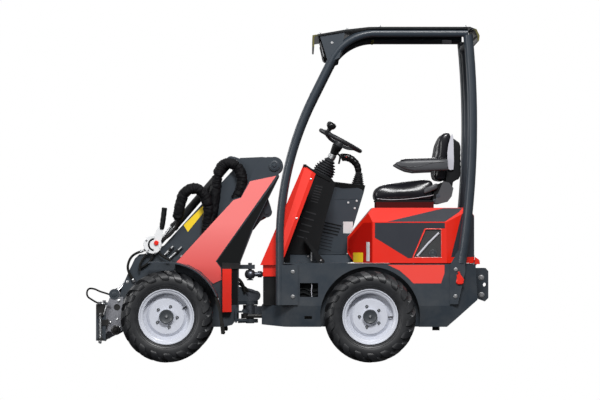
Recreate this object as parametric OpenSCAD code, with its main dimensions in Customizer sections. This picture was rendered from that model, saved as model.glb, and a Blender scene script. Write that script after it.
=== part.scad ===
// Articulated mini loader. Millimetres; +Z up, ground at Z 0, the machine faces -X,
// its left side is -Y. X 0 is the middle of the whole length.

/* [Wheels] */
// Height of both axles above the ground
axle_z = 283; // [240:1:320]
// Front axle, along the machine
front_axle_x = -746; // [-800:1:-700]
// Rear axle, along the machine
rear_axle_x = 508; // [450:1:560]
// Radius over the tips of the tread lugs
tyre_r = 283; // [260:1:300]
// Depth of the tread lugs
lug_h = 20; // [10:1:26]
// Tread lugs in each of the two rows
lugs = 18; // [16:1:26]
// Slant of the tread lugs
lug_slant = 45; // [30:1:55]
// Width of a tyre
tyre_w = 150; // [120:1:180]
// Middle of a wheel, from the centre line
wheel_y = 415; // [390:1:440]
// Radius of the rim's barrel
rim_r = 152; // [140:1:165]
// Radius over the rim's flanges
flange_r = 171; // [160:1:180]
// Radius of the hub motors
motor_r = 75; // [60:1:90]
// Radius of the wheel shafts
shaft_r = 30; // [20:1:40]

/* [Centre joint] */
// Articulation axis, along the machine
joint_x = -238; // [-280:1:-200]
// Height of the upper link of the joint
link_z = 540; // [530:1:545]
// Radius of the kingpin
kingpin_r = 25; // [18:0.5:32]
// Outside radius of the bearing housing
housing_r = 45; // [38:1:60]
// Running clearance of pins and shafts, on the radius
fit = 0.05; // [0.01:0.01:0.1]
// Steering ram's eye, along the machine
steer_eye_x = -270; // [-300:1:-240]
// Steering ram's eye, from the centre line
steer_eye_y = -150; // [-180:1:-120]
// Steering ram's foot, along the machine
steer_foot_x = 222; // [180:1:260]
// Steering ram's foot, from the centre line
steer_foot_y = -190; // [-230:1:-150]
// Height of the steering ram
steer_z = 281; // [270:1:290]

/* [Loader arm] */
// Arm's pivot, along the machine
arm_x = -84; // [-110:1:-60]
// Arm's pivot, height
arm_z = 1221; // [1180:1:1260]
// Outer half width of the arm
arm_w = 70; // [60:1:80]
// Thickness of the arm's plates
arm_t = 10; // [8:0.5:14]
// Coupler's hinge pin, along the machine
hitch_x = -1078; // [-1110:1:-1050]
// Coupler's hinge pin, height
hitch_z = 196; // [170:1:230]
// Tilt ram's eye above the coupler's pin
tilt_arm = 222; // [200:1:240]
// Tilt ram's foot on the arm's elbow, along the machine
tilt_foot_x = -358; // [-380:1:-330]
// Tilt ram's foot on the arm's elbow, height
tilt_foot_z = 1252; // [1230:1:1280]
// Lift ram's foot on the tower, along the machine
lift_foot_x = -134; // [-150:1:-110]
// Lift ram's foot on the tower, height
lift_foot_z = 931; // [900:1:960]
// Lift ram's eye on the arm, along the machine
lift_eye_x = -652; // [-680:1:-620]
// Lift ram's eye on the arm, height
lift_eye_z = 642; // [620:1:670]
// Length of the tilt ram's barrel
tilt_barrel_l = 560; // [540:1:680]
// Length of the lift ram's barrel
lift_barrel_l = 490; // [440:1:520]
// Radius of the lift ram's barrel
lift_barrel_r = 31; // [26:1:36]
// Radius of the tilt ram's barrel
tilt_barrel_r = 25; // [20:1:28]

/* [Frames] */
// Half width of the tower over its plates
tower_w = 150; // [135:1:160]
// Half width of the rear frame's skirts
skirt_w = 410; // [380:1:430]
// Height of the deck
deck_z = 607; // [590:1:620]
// Underside of the rear frame
belly_z = 219; // [200:1:240]
// Radius of the rear wheel arches
arch_r = 308; // [300:1:330]
// Outside radius of the front fenders
fender_r = 337; // [325:1:345]
// Thickness of the body sheets
sheet = 6; // [4:0.5:8]
// Height of the fold along the skirts
fold_z = 350; // [330:1:370]
// How far the skirts lean in below the fold
fold_in = 24; // [0:1:40]
// Thickness of the frame plates
plate = 8; // [6:0.5:12]

/* [Hood and seat] */
// Half width of the hood
hood_w = 360; // [340:1:365]
// Height of the hood's fold
hood_fold_z = 867; // [840:1:890]
// Height of the hood's top
hood_top_z = 955; // [930:1:980]
// Hood hinge behind the tail, along the machine
hinge_x = 1168; // [1160:1:1180]
// Hood hinge, height
hinge_z = 620; // [610:1:630]
// Half width of the seat
seat_w = 230; // [200:1:250]

/* [Steering wheel] */
// Middle of the steering wheel, along the machine
wheel_x = 331; // [300:1:360]
// Middle of the steering wheel, height
wheel_z = 1380; // [1340:1:1420]
// Lean of the steering column from upright
column_tilt = 28; // [20:0.5:35]
// Radius of the steering wheel's rim, to the middle of its section
hand_r = 139; // [120:1:160]

/* [Roof frame] */
// Front post, along the machine
post_x = -49; // [-70:1:-30]
// Radius of the front tubes
front_tube_r = 25; // [20:1:30]
// Radius of the rear tubes
rear_tube_r = 30; // [24:1:34]
// Where the front post starts to lean back
post_arc_z = 755; // [700:1:800]
// Radius of the front post's long bend
post_arc_r = 2000; // [1500:10:3000]
// Lean of the front post's upper part
post_lean = 26.5; // [20:0.5:32]
// Radius of the bend into the roof rail
rail_bend_r = 303; // [250:1:350]
// Height of the roof rail
rail_z = 2034; // [1980:1:2080]
// Rear end of the roof rail
rail_end_x = 1112; // [1095:1:1130]
// Radius of the rear post's bow
bow_r = 5500; // [4000:50:7000]
// Rear post's bow, furthest back
bow_x = 1140; // [1110:1:1170]
// Rear post's bow, height of the furthest point
bow_z = 1479; // [1400:1:1550]
// Thickness of the roof panel
roof_t = 11; // [6:0.5:14]

/* [Hidden] */
$fn = 48;
// the posts stand on the skirts, and the roof reaches over them
post_y = skirt_w - 10;
// Half width of the cowl, between the posts
cowl_y = post_y - 70;
roof_w = skirt_w + 25;
tilt_eye = [hitch_x - 1, hitch_z + tilt_arm];
seat_up = hood_top_z - 955;
arm_dir = [-0.675, -0.738];

// A flat shape in X and Z, thick from y0 to y1.
module side(y0, y1) translate([0, y1, 0]) rotate([90, 0, 0]) linear_extrude(y1 - y0) children();

// A flat shape in X and Y, thick from z0 to z1.
module flat(z0, z1) translate([0, 0, z0]) linear_extrude(z1 - z0) children();

// The same thing on the left and on the right.
module both() { children(); mirror([0, 1, 0]) children(); }

module pin_y(x, z, r, y0, y1) translate([x, y1, z]) rotate([90, 0, 0]) cylinder(h = y1 - y0, r = r);

module pin_z(x, y, r, z0, z1) translate([x, y, z0]) cylinder(h = z1 - z0, r = r);

module box(a, b) translate(a) cube(b - a);

// A round bar from p to q.
module bar(p, q, r) {
    d = q - p;
    l = norm(d);
    translate(p) rotate([0, acos(d[2] / l), atan2(d[1], d[0])]) cylinder(h = l, r = r);
}

// A bent tube in X and Z: centre, bend radius, start and end angle, tube radius, side.
module bend(c, r, a0, a1, t, y) translate([c[0], y, c[1]]) rotate([90, 0, 0]) rotate([0, 0, a0])
    rotate_extrude(angle = a1 - a0) translate([r, 0]) circle(r = t);

// Along a ram from its foot p to its eye q, in X and Z: the local Z axis runs along the ram.
module along(p, q, y = 0) translate([p[0], y, p[1]])
    rotate([0, 90 - atan2(q[1] - p[1], q[0] - p[0]), 0]) children();

// Smooth route through hand-chosen points, and a round hose along it.
function spline(p, i, t) = let(a = p[max(i - 1, 0)], b = p[i], c = p[i + 1],
    d = p[min(i + 2, len(p) - 1)])
    0.5 * (2 * b + (c - a) * t + (2 * a - 5 * b + 4 * c - d) * t * t
    + (3 * b - a - 3 * c + d) * t * t * t);
function route(p, n) = concat([for (i = [0:len(p) - 2], k = [0:n - 1]) spline(p, i, k / n)],
    [p[len(p) - 1]]);
function unit(v) = v / norm(v);
module hose(points, r, sides = 10, n = 3) {
    q = route(points, n);
    m = len(q);
    ring = [for (i = [0:m - 1]) let(d = unit(q[min(i + 1, m - 1)] - q[max(i - 1, 0)]),
        u = unit(cross([0, 1, 0], d)), v = cross(d, u))
        for (k = [0:sides - 1]) q[i] + r * (cos(360 * k / sides) * u + sin(360 * k / sides) * v)];
    walls = [for (i = [0:m - 2], k = [0:sides - 1]) let(a = i * sides, e = (k + 1) % sides)
        each [[a + k, a + sides + k, a + e], [a + e, a + sides + k, a + sides + e]]];
    ends = [for (k = [1:sides - 2]) each [[0, k, k + 1],
        [(m - 1) * sides, (m - 1) * sides + k + 1, (m - 1) * sides + k]]];
    polyhedron(ring, concat(walls, ends));
}

// Rear frame
module chassis_plan(g) {
    polygon([[-162 + g, -250 + g], [45, -skirt_w + g], [1010, -skirt_w + g],
        [1180 - g, -345 + g], [1180 - g, 345 - g], [1010, skirt_w - g],
        [45, skirt_w - g], [-162 + g, 250 - g]]);
}
// The frame seen from the front, its skirts leaning in below the fold; g is how far inside.
module chassis_front(g) rotate([90, 0, 90]) linear_extrude(2600, center = true) polygon([
    [-skirt_w + fold_in + g, belly_z - 20], [-skirt_w + g, fold_z], [-skirt_w + g, 700],
    [skirt_w - g, 700], [skirt_w - g, fold_z], [skirt_w - fold_in - g, belly_z - 20]]);
module rear_chassis() color("#3c4650") {
    difference() {
    intersection() {
        flat(200, 700) chassis_plan(0);
        chassis_front(0);
        side(-500, 500) polygon([[-162, 231], [-162, fold_z], [-29, fold_z], [-29, deck_z],
            [1162, deck_z], [1174, 385], [983, belly_z], [-20, belly_z]]);
    }
    // inside, with the inner arch walls left standing
    side(-312, 312) polygon([[57, 239], [57, deck_z - plate], [1154, deck_z - plate],
        [1164, 388], [980, 227], [150, 227]]);
    for (x = [[57, 190], [832, 985]]) both() intersection() {
        box([x[0], -skirt_w, 239], [x[1], -300, deck_z - plate]);
        chassis_front(plate);
    }
    // room for the battery side of the front wall
    box([-21, -300, 358], [49, 300, deck_z - plate]);
    // wheel wells
    both() pin_y(rear_axle_x, axle_z, arch_r, -skirt_w - 110, -322);
    // open bay that the steering ram and the front ears swing in
    box([-170, -232, 200], [45, 232, 342]);
    // slot for the ram through the front bulkhead
    box([40, -228, 245], [60, -130, 318]);
    // windows in the skirts
    both() box([75, -skirt_w - 5, 404], [188, -skirt_w + 15, 490]);
    both() box([104, -skirt_w - 5, 268], [150, -skirt_w + 30, 287]);
    // the engine bay is open under the hood
    box([560, -300, 560], [1120, 300, 620]);
    }
    // ears and pins of the hood's two hinges
    both() for (y = [186, 252]) side(-y - 8, -y) polygon([[1152, 596], [1166, 596], [1178, 608],
        [1178, 625], [1172, 630], [1161, 630], [1161, 606], [1152, 606]]);
    both() pin_y(hinge_x, hinge_z, 6, -262, -186);
}
module hitch_plate() color("#3c4650") difference() {
    union() {
        side(-60, 60) polygon([[1162.3 + 215 * 12 / 222, 392], [1235, 370], [1257, 392],
            [1257, 560], [1240, 580], [1162.3 + 27 * 12 / 222, 580]]);
    }
    side(-45, 45) polygon([[1192, 350], [1300, 350], [1300, 600], [1192, 600]]);
    pin_y(1235, 475, 12.5, -80, 80);
}
module engine_block() color("#55585c") {
    box([640, -190, 290], [1040, 190, hood_top_z - 155]);
    // sump and feet on the frame's floor
    box([700, -150, 227.3], [940, 150, 290]);
}
module floor_plate() color("#3c4650") {
    box([-20, -skirt_w + 10, deck_z], [372, skirt_w - 10, deck_z + 6]);
    box([8, skirt_w - 25, deck_z + 6], [372, skirt_w - 10, 656]);
}
module front_cowl() color("#e03224") difference() {
    side(-cowl_y, cowl_y) polygon([[97, 1221], [173, 1165], [-20, 652], [-50, 613], [-50, 600],
        [-171, 600]]);
    side(-cowl_y + sheet, cowl_y - sheet) polygon([[-162, 606], [104, 1223], [300, 1223], [300, 606]]);
}
// A folded rubber bellows: folds, height, foot radius, top radius, depth of the folds.
module bellows(n, h, r0, r1, d) rotate_extrude() polygon(concat([[0, -14], [r0, -14]],
    [for (i = [0:n - 1], k = [0, 1]) [r0 + (r1 - r0) * (i + k / 2) / n - k * d, h * (i + k / 2) / n]],
    [[r1, h], [0, h]]));
module steering_column() color("#222426") {
    side(-105, 105) polygon([[112, 1205], [150, 1202], [282, 1133], [216, 899],
        [150, deck_z + 6], [-24, deck_z + 6], [-24, 900]]);
    translate([217, 0, 1167]) rotate([0, column_tilt, 0]) {
        bellows(9, 110, 66, 25, 7);
        cylinder(h = 211.3, r = 17);
    }
}
louvres = [[693, 195, 352], [712, 199, 357], [731, 203, 362], [750, 207, 367], [769, 211, 372],
    [788, 215, 377], [807, 219, 382], [826, 223, 387], [845, 227, 392]];
module control_console() color("#3c4650") difference() {
    side(205, 335) polygon([[266, 1129], [491, 1102], [481, 1057], [414, 838], [374, 669],
        [370, deck_z + 6], [171, deck_z + 6], [171, 682], [209, 863], [240, 1025]]);
    // cooling louvres on the side by the seat: height, front end, rear end
    for (l = louvres) box([l[1] + 22, 200, l[0]], [l[2] - 22, 211, l[0] + 8]);
    // groove round the top cover
    side(200, 207) polygon([[238, 1010], [470, 1010], [471, 1014], [239, 1014]]);
}
module drive_controls() color("#1d1f21") {
    translate([444.7, 262, 1122.1]) rotate([0, 6.84, 0]) bellows(6, 58, 34, 15, 4);
    bar([440, 262, 1160], [428, 262, 1225], 12);
    bar([428, 262, 1220], [395, 262, 1272], 14);
    bar([398, 262, 1268], [345, 262, 1282], 15);
}
module pedals() color("#1d1f21") for (y = [-210, 112]) side(y, y + 70)
    polygon([[100, 770], [106, 775], [230, 625], [226, deck_z + 6], [190, deck_z + 6]]);

// Roof frame
p1 = [post_x + post_arc_r * (1 - cos(post_lean)), post_arc_z + post_arc_r * sin(post_lean)];
bend_z = rail_z - rail_bend_r;
p2z = bend_z + rail_bend_r * sin(post_lean);
p2 = [p1[0] + (p2z - p1[1]) * tan(post_lean), p2z];
bend_x = p2[0] + rail_bend_r * cos(post_lean);
bow_a0 = -asin((bow_z - deck_z - 5) / bow_r);
bow_a1 = asin((rail_z - 12 - bow_z) / bow_r);

module sleeve(x, z, lean, over = 0.8) translate([x, -post_y, z]) rotate([0, lean, 0])
    translate([0, 0, -6]) cylinder(h = 12, r = front_tube_r + over);
module rops_side() color("#3c4650") {
    // each straight tube ends 1 mm short of its bend, inside a thin weld sleeve
    pin_z(post_x, -post_y, front_tube_r, 354, post_arc_z - 1);
    bend([post_x + post_arc_r, post_arc_z], post_arc_r, 180 - post_lean, 180, front_tube_r, -post_y);
    sleeve(post_x, post_arc_z, 0);
    bar([p1[0] + sin(post_lean), -post_y, p1[1] + cos(post_lean)],
        [p2[0] - sin(post_lean), -post_y, p2[1] - cos(post_lean)], front_tube_r);
    sleeve(p1[0], p1[1], post_lean);
    sleeve(p2[0], p2[1], post_lean);
    bend([bend_x, bend_z], rail_bend_r, 90, 180 - post_lean, front_tube_r, -post_y);
    bar([bend_x + 1, -post_y, rail_z], [rail_end_x, -post_y, rail_z], front_tube_r);
    sleeve(bend_x, rail_z, 90, 0.2);
    bend([bow_x - bow_r, bow_z], bow_r, bow_a0, bow_a1, rear_tube_r, -post_y);
    // brackets on the skirt and the gusset under the roof
    box([-62, -skirt_w - 12, 354], [62, -skirt_w, deck_z - 6]);
    side(-skirt_w - 14, -skirt_w) polygon([[1000, 360], [1050, 360], [1095, 560], [1095, 690],
        [1050, 690], [1000, 600]]);
    side(-post_y - 21, -post_y - 15) polygon([[199, 2013], [354, 2039], [320, 1880], [250, 1850]]);
}
module rops_left() rops_side();
module rops_right() mirror([0, 1, 0]) rops_side();
module rops_cross_tubes() color("#3c4650") {
    pin_y(326, 1945, 18, -post_y + 25.3, post_y - 25.3);
    pin_y(1114, 1975, 20, -post_y + 30.3, post_y - 30.3);
}
module roof_panel() color("#4a4c3c") side(-roof_w, roof_w)
    polygon([[153, 1947], [153, 2018], [348, 2052], [500, 2069], [570, 2070], [1125, 2070],
        [1165, 2055], [1184, 2015], [1180, 1984], [1169, 1984], [1172, 2012], [1157, 2045],
        [1125, 2059.3], [500, 2059.3], [349, 2041], [164, 2009], [164, 1947]]);
module work_lamps() color("#222426") both() {
    side(-345, -255) polygon([[203, 1990], [278, 1990], [281, 1900], [228, 1886]]);
    side(-310, -290) polygon([[270, 1975], [307.9, 1960], [307.9, 1935], [270, 1920]]);
}
module battery_boxes() color("#1d1f21") both() box([-153, -300, 350], [-29, -75, 526]);
module step_caps() color("#e03224") both() box([-154, -306, 530], [-29, -70, 600]);
module rear_joint() color("#8a8d90") difference() {
    union() {
        pin_z(joint_x, 0, housing_r, 266, 347);
        box([joint_x + 30, -38, 272], [45, 38, 340]);
        box([31, -110, 245], [45, 110, 340]);
        // ball end of the upper link, flat on top and below
        intersection() {
            translate([joint_x, 0, link_z]) sphere(r = 34);
            pin_z(joint_x, 0, 40, link_z - 27, link_z + 27);
        }
        bar([joint_x + 20, 0, link_z], [-30, 0, link_z], 14);
        bar([joint_x + 48, 0, link_z], [joint_x + 74, 0, link_z], 20);
        box([-45, -55, link_z - 42], [-29, 55, link_z + 42]);
    }
    pin_z(joint_x, 0, kingpin_r + fit, 250, 360);
    pin_z(joint_x, 0, 12 + fit, link_z - 50, link_z + 50);
}
module hub_motors(x, y0) color("#2a2c2f") both() {
    pin_y(x, axle_z, motor_r, -340, -y0);
    pin_y(x, axle_z, 62, -422, -340);
    pin_y(x, axle_z, shaft_r, -450, -422);
}
module rear_hub_motors() hub_motors(rear_axle_x, 322);
module front_hub_motors() hub_motors(front_axle_x, tower_w);

// Steering ram
steer_d = [steer_eye_x - steer_foot_x, steer_eye_y - steer_foot_y, 0];
steer_l = norm(steer_d);
module steer_along() translate([steer_foot_x, steer_foot_y, steer_z])
    rotate([0, 90, atan2(steer_d[1], steer_d[0])]) children();
module steer_barrel() color("#222426") {
    difference() {
        steer_along() translate([0, 0, 15]) cylinder(h = 315, r = 28);
        steer_along() translate([0, 0, 60]) cylinder(h = 400, r = 12.5 + fit);
    }
    pin_z(steer_foot_x, steer_foot_y, 24, 266, 296);
    pin_z(steer_foot_x, steer_foot_y, 12, 227, 306);
}
module steer_rod() color("#c8ccd0") {
    steer_along() translate([0, 0, steer_l - 300]) cylinder(h = 290, r = 12.5);
    pin_z(steer_eye_x, steer_eye_y, 22, 266, 296);
}

// Steering wheel
module steering_wheel() color("#1d1f21") translate([wheel_x, 0, wheel_z])
    rotate([0, column_tilt, 0]) {
    rotate_extrude() translate([hand_r, 0]) circle(r = 11);
    translate([0, 0, -30]) cylinder(h = 34, r = 32);
    for (a = [90, 210, 330]) rotate([0, 0, a]) translate([0, 0, -14]) bar([20, 0, 0], [133, 0, 10], 8);
    translate([-95, -102, 0]) cylinder(h = 62, r = 12);
    translate([-95, -102, 44]) cylinder(h = 40, r = 22);
}

// Hood and seat
module hood_form(g) intersection() {
    flat(500, hood_top_z + 45) polygon([[373 + g, -140 + g], [525, -hood_w + g], [982, -hood_w + g],
        [1158 - g, -300 + g], [1158 - g, 300 - g], [982, hood_w - g], [525, hood_w - g],
        [373 + g, 140 - g]]);
    side(-500, 500) polygon([[415, 613 - g], [373 + g, 675], [373 + g, 774],
        [525 + g / 2, hood_top_z - g], [1122, hood_top_z - g], [1156 - g, 905], [1156 - g, 650],
        [1150 - g, 613 - g]]);
    rotate([90, 0, 90]) linear_extrude(1400) polygon([[-hood_w + g, 600 - 2 * g],
        [hood_w - g, 600 - 2 * g], [hood_w - g, hood_fold_z], [300, hood_top_z - g],
        [-300, hood_top_z - g], [-hood_w + g, hood_fold_z]]);
}
module hood_shell() color("#e03224") {
    difference() {
    hood_form(0);
    hood_form(sheet);
    side(-500, 500) polygon([[853, 823], [950, 823], [950, 647], [776, 647]]);
    }
    // hinge leaves on the tail
    both() difference() {
        union() {
            box([1153, -250, 622], [1160, -200, 662]);
            pin_y(hinge_x, hinge_z, 10, -250, -200);
        }
        pin_y(hinge_x, hinge_z, 6 + fit, -260, -190);
    }
}
module seat_plinth() color("#222426") translate([0, 0, seat_up]) box([549, -235, 955], [908, 235, 992]);
module seat_cushion() color("#26282b") translate([0, 0, seat_up]) side(-seat_w, seat_w)
    polygon([[545, 992.3], [533, 1010], [533, 1040], [574, 1085], [630, 1108], [909, 1121],
        [909, 992.3]]);
module seat_back() color("#26282b") translate([0, 0, seat_up]) side(-seat_w, seat_w)
    polygon([[913, 1125], [918, 1253], [943, 1405], [970, 1428], [1005, 1424], [1016, 1385],
        [994, 1250], [990, 1125]]);
module seat_shell() color("#222426") translate([0, 0, seat_up]) {
    side(-215, 215) polygon([[991, 1118], [995, 1250], [1017, 1384], [1040, 1377], [1077, 1315],
        [1077, 1129], [1060, 1105], [1000, 1105]]);
    side(-120, 120) polygon([[912, 993], [1030, 993], [1060, 1118], [991, 1118], [912, 1090]]);
    box([912, -120, 955], [1030, 120, 993]);
    both() pin_y(1015, 1228, 12, -265, -210);
}
module armrests() color("#26282b") translate([0, 0, seat_up]) both() difference() {
    side(-292, -237) polygon([[666, 1234], [697, 1253], [1040, 1262], [1040, 1195], [772, 1172],
        [700, 1190]]);
    pin_y(1015, 1228, 12 + fit, -270, -230);
}

// Front frame
module front_chassis() color("#3c4650") {
    side(-tower_w, tower_w) polygon([[-900, 235], [-900, 325], [-640, 345], [-322, 345],
        [-322, 257], [-348, 225], [-400, 213], [-880, 213]]);
    box([-322, -138, 250], [-310, 138, 600]);
    // fork plates, kingpin and the upper bar with its bolt
    for (z = [[236, 260], [350, 374]]) difference() {
        flat(z[0], z[1]) union() {
            polygon([[-312, -120], [joint_x - 20, -45], [joint_x - 20, 45], [-312, 120]]);
            translate([joint_x, 0]) circle(r = 50);
        }
    }
    pin_z(joint_x, 0, kingpin_r, 232, 384);
    both() side(-44, -32) polygon([[-310, 374], [-310, 461], [-285, 461], [-242, 374]]);
    box([-312, -32, link_z + 33], [joint_x + 30, 32, 600]);
    pin_z(joint_x, 0, 12, link_z - 36, 612);
    pin_z(joint_x, 0, 20, link_z - 38, link_z - 31);
    // ears of the steering ram
    for (z = [[248, 260], [302, 314]]) flat(z[0], z[1]) union() {
        polygon([[-320, -184], [steer_eye_x, -176], [steer_eye_x, -124], [-320, -132]]);
        translate([steer_eye_x, steer_eye_y]) circle(r = 26);
    }
    box([-329, -184, 240], [-317, -130, 325]);
    pin_z(steer_eye_x, steer_eye_y, 16, 314, 322);
    pin_z(steer_eye_x, steer_eye_y, 16, 240, 248);
}
// Casting over the kingpin, ribbed round the outside
module swivel_casting() color("#8a8d90") difference() {
    side(-30, 30) union() {
        polygon([[-309.7, 374.3], [-309.7, 459], [-262, 455], [-222, 446], [-200, 436], [-200, 374.3]]);
        translate([-205, 405]) circle(r = 33);
    }
    both() side(-31, -16) intersection() {
        polygon([[-298, 400], [-298, 446], [-262, 443], [-222, 432], [-190, 420], [-190, 400]]);
        translate([-243, 382]) circle(r = 62);
    }
    both() pin_y(-205, 405, 14, -31, -24);
    box([-240, -31, 340], [-160, 31, 374.3]);
    pin_z(joint_x, 0, kingpin_r + 2, 360, 386);
}
module tower_outline() union() {
    polygon([[arm_x, 1273], [-130, 1274], [-202, 1221], [-242, 1124], [-292, 1024],
        [-348, 1011], [-523, 805], [-704, 612], [-704, 345], [-310, 345], [-310, 569],
        [-299, 618], [-217, 830], [-55, 1155]]);
    translate([arm_x, arm_z]) circle(r = 54);
}
module tower() color("#3c4650") {
    both() difference() {
        side(-tower_w, -tower_w + 12) tower_outline();
        // strip behind the fold, set back
        side(-tower_w - 1, -tower_w + 5) polygon([[-52, 1162], [-448, 624], [-417, 580], [-411, 506],
            [-467, 481], [-700, 330], [-200, 330], [-200, 800], [-30, 1155]]);
        // notch that lets the hoses out
        side(-tower_w - 1, -tower_w + 20) polygon([[-420, 930], [-445, 860], [-500, 790],
            [-560, 735], [-560, 845], [-523, 870]]);
    }
    both() pin_y(arm_x, arm_z, 54, -138, -110);
    pin_y(arm_x, arm_z, 22, -162, 162);
    both() pin_y(arm_x, arm_z, 34, -164, -150);
    // back plate, open in the middle where the lift ram stands
    side(-138, 138) polygon([[-217, 830], [-229, 830], [-311, 618], [-322, 600], [-310, 600], [-299, 618]]);
    both() side(-138, -44) polygon([[-217, 830], [-229, 830], [-133, 1023], [-121, 1023]]);
    // ears of the lift ram
    both() difference() {
        side(-56, -44) union() {
            polygon([[-229, 830], [-217, 818], [-150, 905], [-100, 925], [-108, 965], [-125, 1015],
                [-150, 1000]]);
            translate([lift_foot_x, lift_foot_z]) circle(r = 34);
        }
    }
    pin_y(lift_foot_x, lift_foot_z, 15, -64, 64);
}
module fender_outline(r0, r1) {
    difference() {
        translate([front_axle_x, axle_z]) circle(r = r1, $fn = 96);
        translate([front_axle_x, axle_z]) circle(r = r0, $fn = 96);
        polygon([[front_axle_x - 400, -200], [front_axle_x + 600, -200],
            [front_axle_x + 600, axle_z + 600 * tan(22)], [front_axle_x, axle_z],
            [front_axle_x, 900], [front_axle_x - 400, 900]]);
    }
    polygon([[-859, axle_z + r0], [-859, axle_z + r1], [front_axle_x, axle_z + r1],
        [front_axle_x, axle_z + r0]]);
}
module front_fenders() color("#3c4650") both()
    side(-tyre_w / 2 - wheel_y, -tower_w) fender_outline(fender_r - 8, fender_r);
module mud_flaps() color("#1a1b1c") both() side(-478, -345)
    polygon([[-441, 405.9], [-433.6, 408.9], [-412, 330], [-396, 175], [-404, 175], [-420, 330]]);
module frame_covers() color("#e03224") both() box([-407, -200, 307], [-351, -150, 575]);

// Loader arm
module boom_outline() union() {
    polygon([[arm_x, 1269], [-162, 1276], [-300, 1270], [-350, 1188], [-777, 721],
        [-901, 668], [-931, 666], [-959, 639], [-991, 572], [-1031, 480], [-1112, 205],
        [-1100, 168], [-1070, 160], [-1001, 223], [-925, 380], [-800, 473], [-751, 518],
        [-690, 597], [-617, 607], [-604, 650], [-239, 1087], [-150, 1165], [arm_x, 1173]]);
    translate([arm_x, arm_z]) circle(r = 48);
    translate([hitch_x, hitch_z]) circle(r = 36);
}
module boom_arm() color("#3c4650") difference() {
    union() {
        both() side(-arm_w, -arm_w + arm_t) boom_outline();
        // top plate
        side(-arm_w + arm_t, arm_w - arm_t) polygon([[-162, 1276], [-300, 1270], [-350, 1188],
            [-777, 721], [-788, 716], [-784, 706], [-770, 713], [-341, 1182], [-294, 1260], [-162, 1266]]);
        // pivot hub, nose hub and nose tube
        pin_y(arm_x, arm_z, 42, -106, 106);
        pin_y(hitch_x, hitch_z, 34, -arm_w, arm_w);
        pin_y(-925, 445, 20, -arm_w + arm_t, arm_w - arm_t);
        // ears of the tilt ram's foot
        both() side(-40, -28) union() {
            polygon([[-290, 1262], [-340, 1280], [-372, 1225], [-330, 1205]]);
            translate([tilt_foot_x, tilt_foot_z]) circle(r = 30);
        }
        pin_y(tilt_foot_x, tilt_foot_z, 14, -46, 46);
        // heads of the lift ram's pin
        both() pin_y(lift_eye_x, lift_eye_z, 24, -80, -arm_w);
    }
    pin_y(arm_x, arm_z, 22 + fit, -120, 120);
    pin_y(hitch_x, hitch_z, 18 + fit, -120, 120);
}
module hydraulic_coupler() color("#c8ccd0") {
    pin_y(-856, 713, 45, -108, -arm_w);
    pin_y(-856, 713, 60, -118, -100);
    bar([-812, -109, 745], [-786, -109, 870], 8);
    bar([-787, -109, 865], [-764, -109, 960], 15);
}
module lift_barrel() color("#222426") difference() {
    union() {
        along([lift_foot_x, lift_foot_z], [lift_eye_x, lift_eye_z]) translate([0, 0, 20])
            cylinder(h = lift_barrel_l - 20, r = lift_barrel_r);
        pin_y(lift_foot_x, lift_foot_z, 32, -36, 36);
    }
    along([lift_foot_x, lift_foot_z], [lift_eye_x, lift_eye_z]) translate([0, 0, 45])
        cylinder(h = lift_barrel_l, r = 18 + fit);
    pin_y(lift_foot_x, lift_foot_z, 15 + fit, -40, 40);
}
module lift_rod() color("#c8ccd0") {
    l = norm([lift_eye_x - lift_foot_x, lift_eye_z - lift_foot_z]);
    along([lift_foot_x, lift_foot_z], [lift_eye_x, lift_eye_z]) translate([0, 0, l - 540])
        cylinder(h = 525, r = 18);
    pin_y(lift_eye_x, lift_eye_z, 28, -26, 26);
}
module tilt_barrel() color("#222426") difference() {
    union() {
        along([tilt_foot_x, tilt_foot_z], tilt_eye) translate([0, 0, 20])
            cylinder(h = tilt_barrel_l - 20, r = tilt_barrel_r);
        pin_y(tilt_foot_x, tilt_foot_z, 26, -22, 22);
    }
    along([tilt_foot_x, tilt_foot_z], tilt_eye) translate([0, 0, 100])
        cylinder(h = tilt_barrel_l, r = 15 + fit);
    pin_y(tilt_foot_x, tilt_foot_z, 14 + fit, -40, 40);
}
module tilt_rod() color("#c8ccd0") {
    l = norm([tilt_eye[0] - tilt_foot_x, tilt_eye[1] - tilt_foot_z]);
    along([tilt_foot_x, tilt_foot_z], tilt_eye) translate([0, 0, l - 915]) cylinder(h = 900, r = 15);
    pin_y(tilt_eye[0], tilt_eye[1], 26, -20, 20);
}
module quick_coupler() color("#3c4650") difference() {
    union() {
        both() box([-1191, -260, 130], [-1131, -205, 357]);
        box([-1188, -206, 300], [-1134, 206, 352]);
        box([-1188, -206, 150], [-1134, 206, 196]);
        // outer ears on the hinge pin, inner ears of the tilt ram
        both() side(-87, -75) union() {
            polygon([[-1136, 130], [-1136, 345], [-1110, 345], [hitch_x + 30, 200], [hitch_x, 160]]);
            translate([hitch_x, hitch_z]) circle(r = 34);
        }
        both() side(-38, -26) union() {
            polygon([[-1136, 300], [-1136, 350], [tilt_eye[0] - 22, tilt_eye[1] + 18],
                [tilt_eye[0] + 24, tilt_eye[1] - 12]]);
            translate(tilt_eye) circle(r = 26);
        }
        both() pin_y(tilt_eye[0], tilt_eye[1], 18, -46, -38);
        pin_y(hitch_x, hitch_z, 18, -92, 92);
        // brackets that take the tool's hooks
        both() side(-232, -212) union() {
            polygon([[-1100, 385], [-1078, 398], [-1024, 403], [-1020, 327], [-1038, 255], [-1033, 192],
                [-1101, 187], [-1119, 190], [-1139, 156], [-1139, 352], [-1122, 352], [-1122, 331],
                [-1100, 324]]);
            translate([hitch_x + 8, hitch_z]) circle(r = 32);
        }
    }
    both() pin_z(-1168, -232, 11 + fit, 100, 400);
}
module lock_pins() color("#c8ccd0") both() {
    pin_z(-1168, -232, 11, 130, 372);
    pin_z(-1168, -232, 10, 114.6, 130);
    box([-1175, -290, 358], [-1161, -232, 370]);
}

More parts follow.
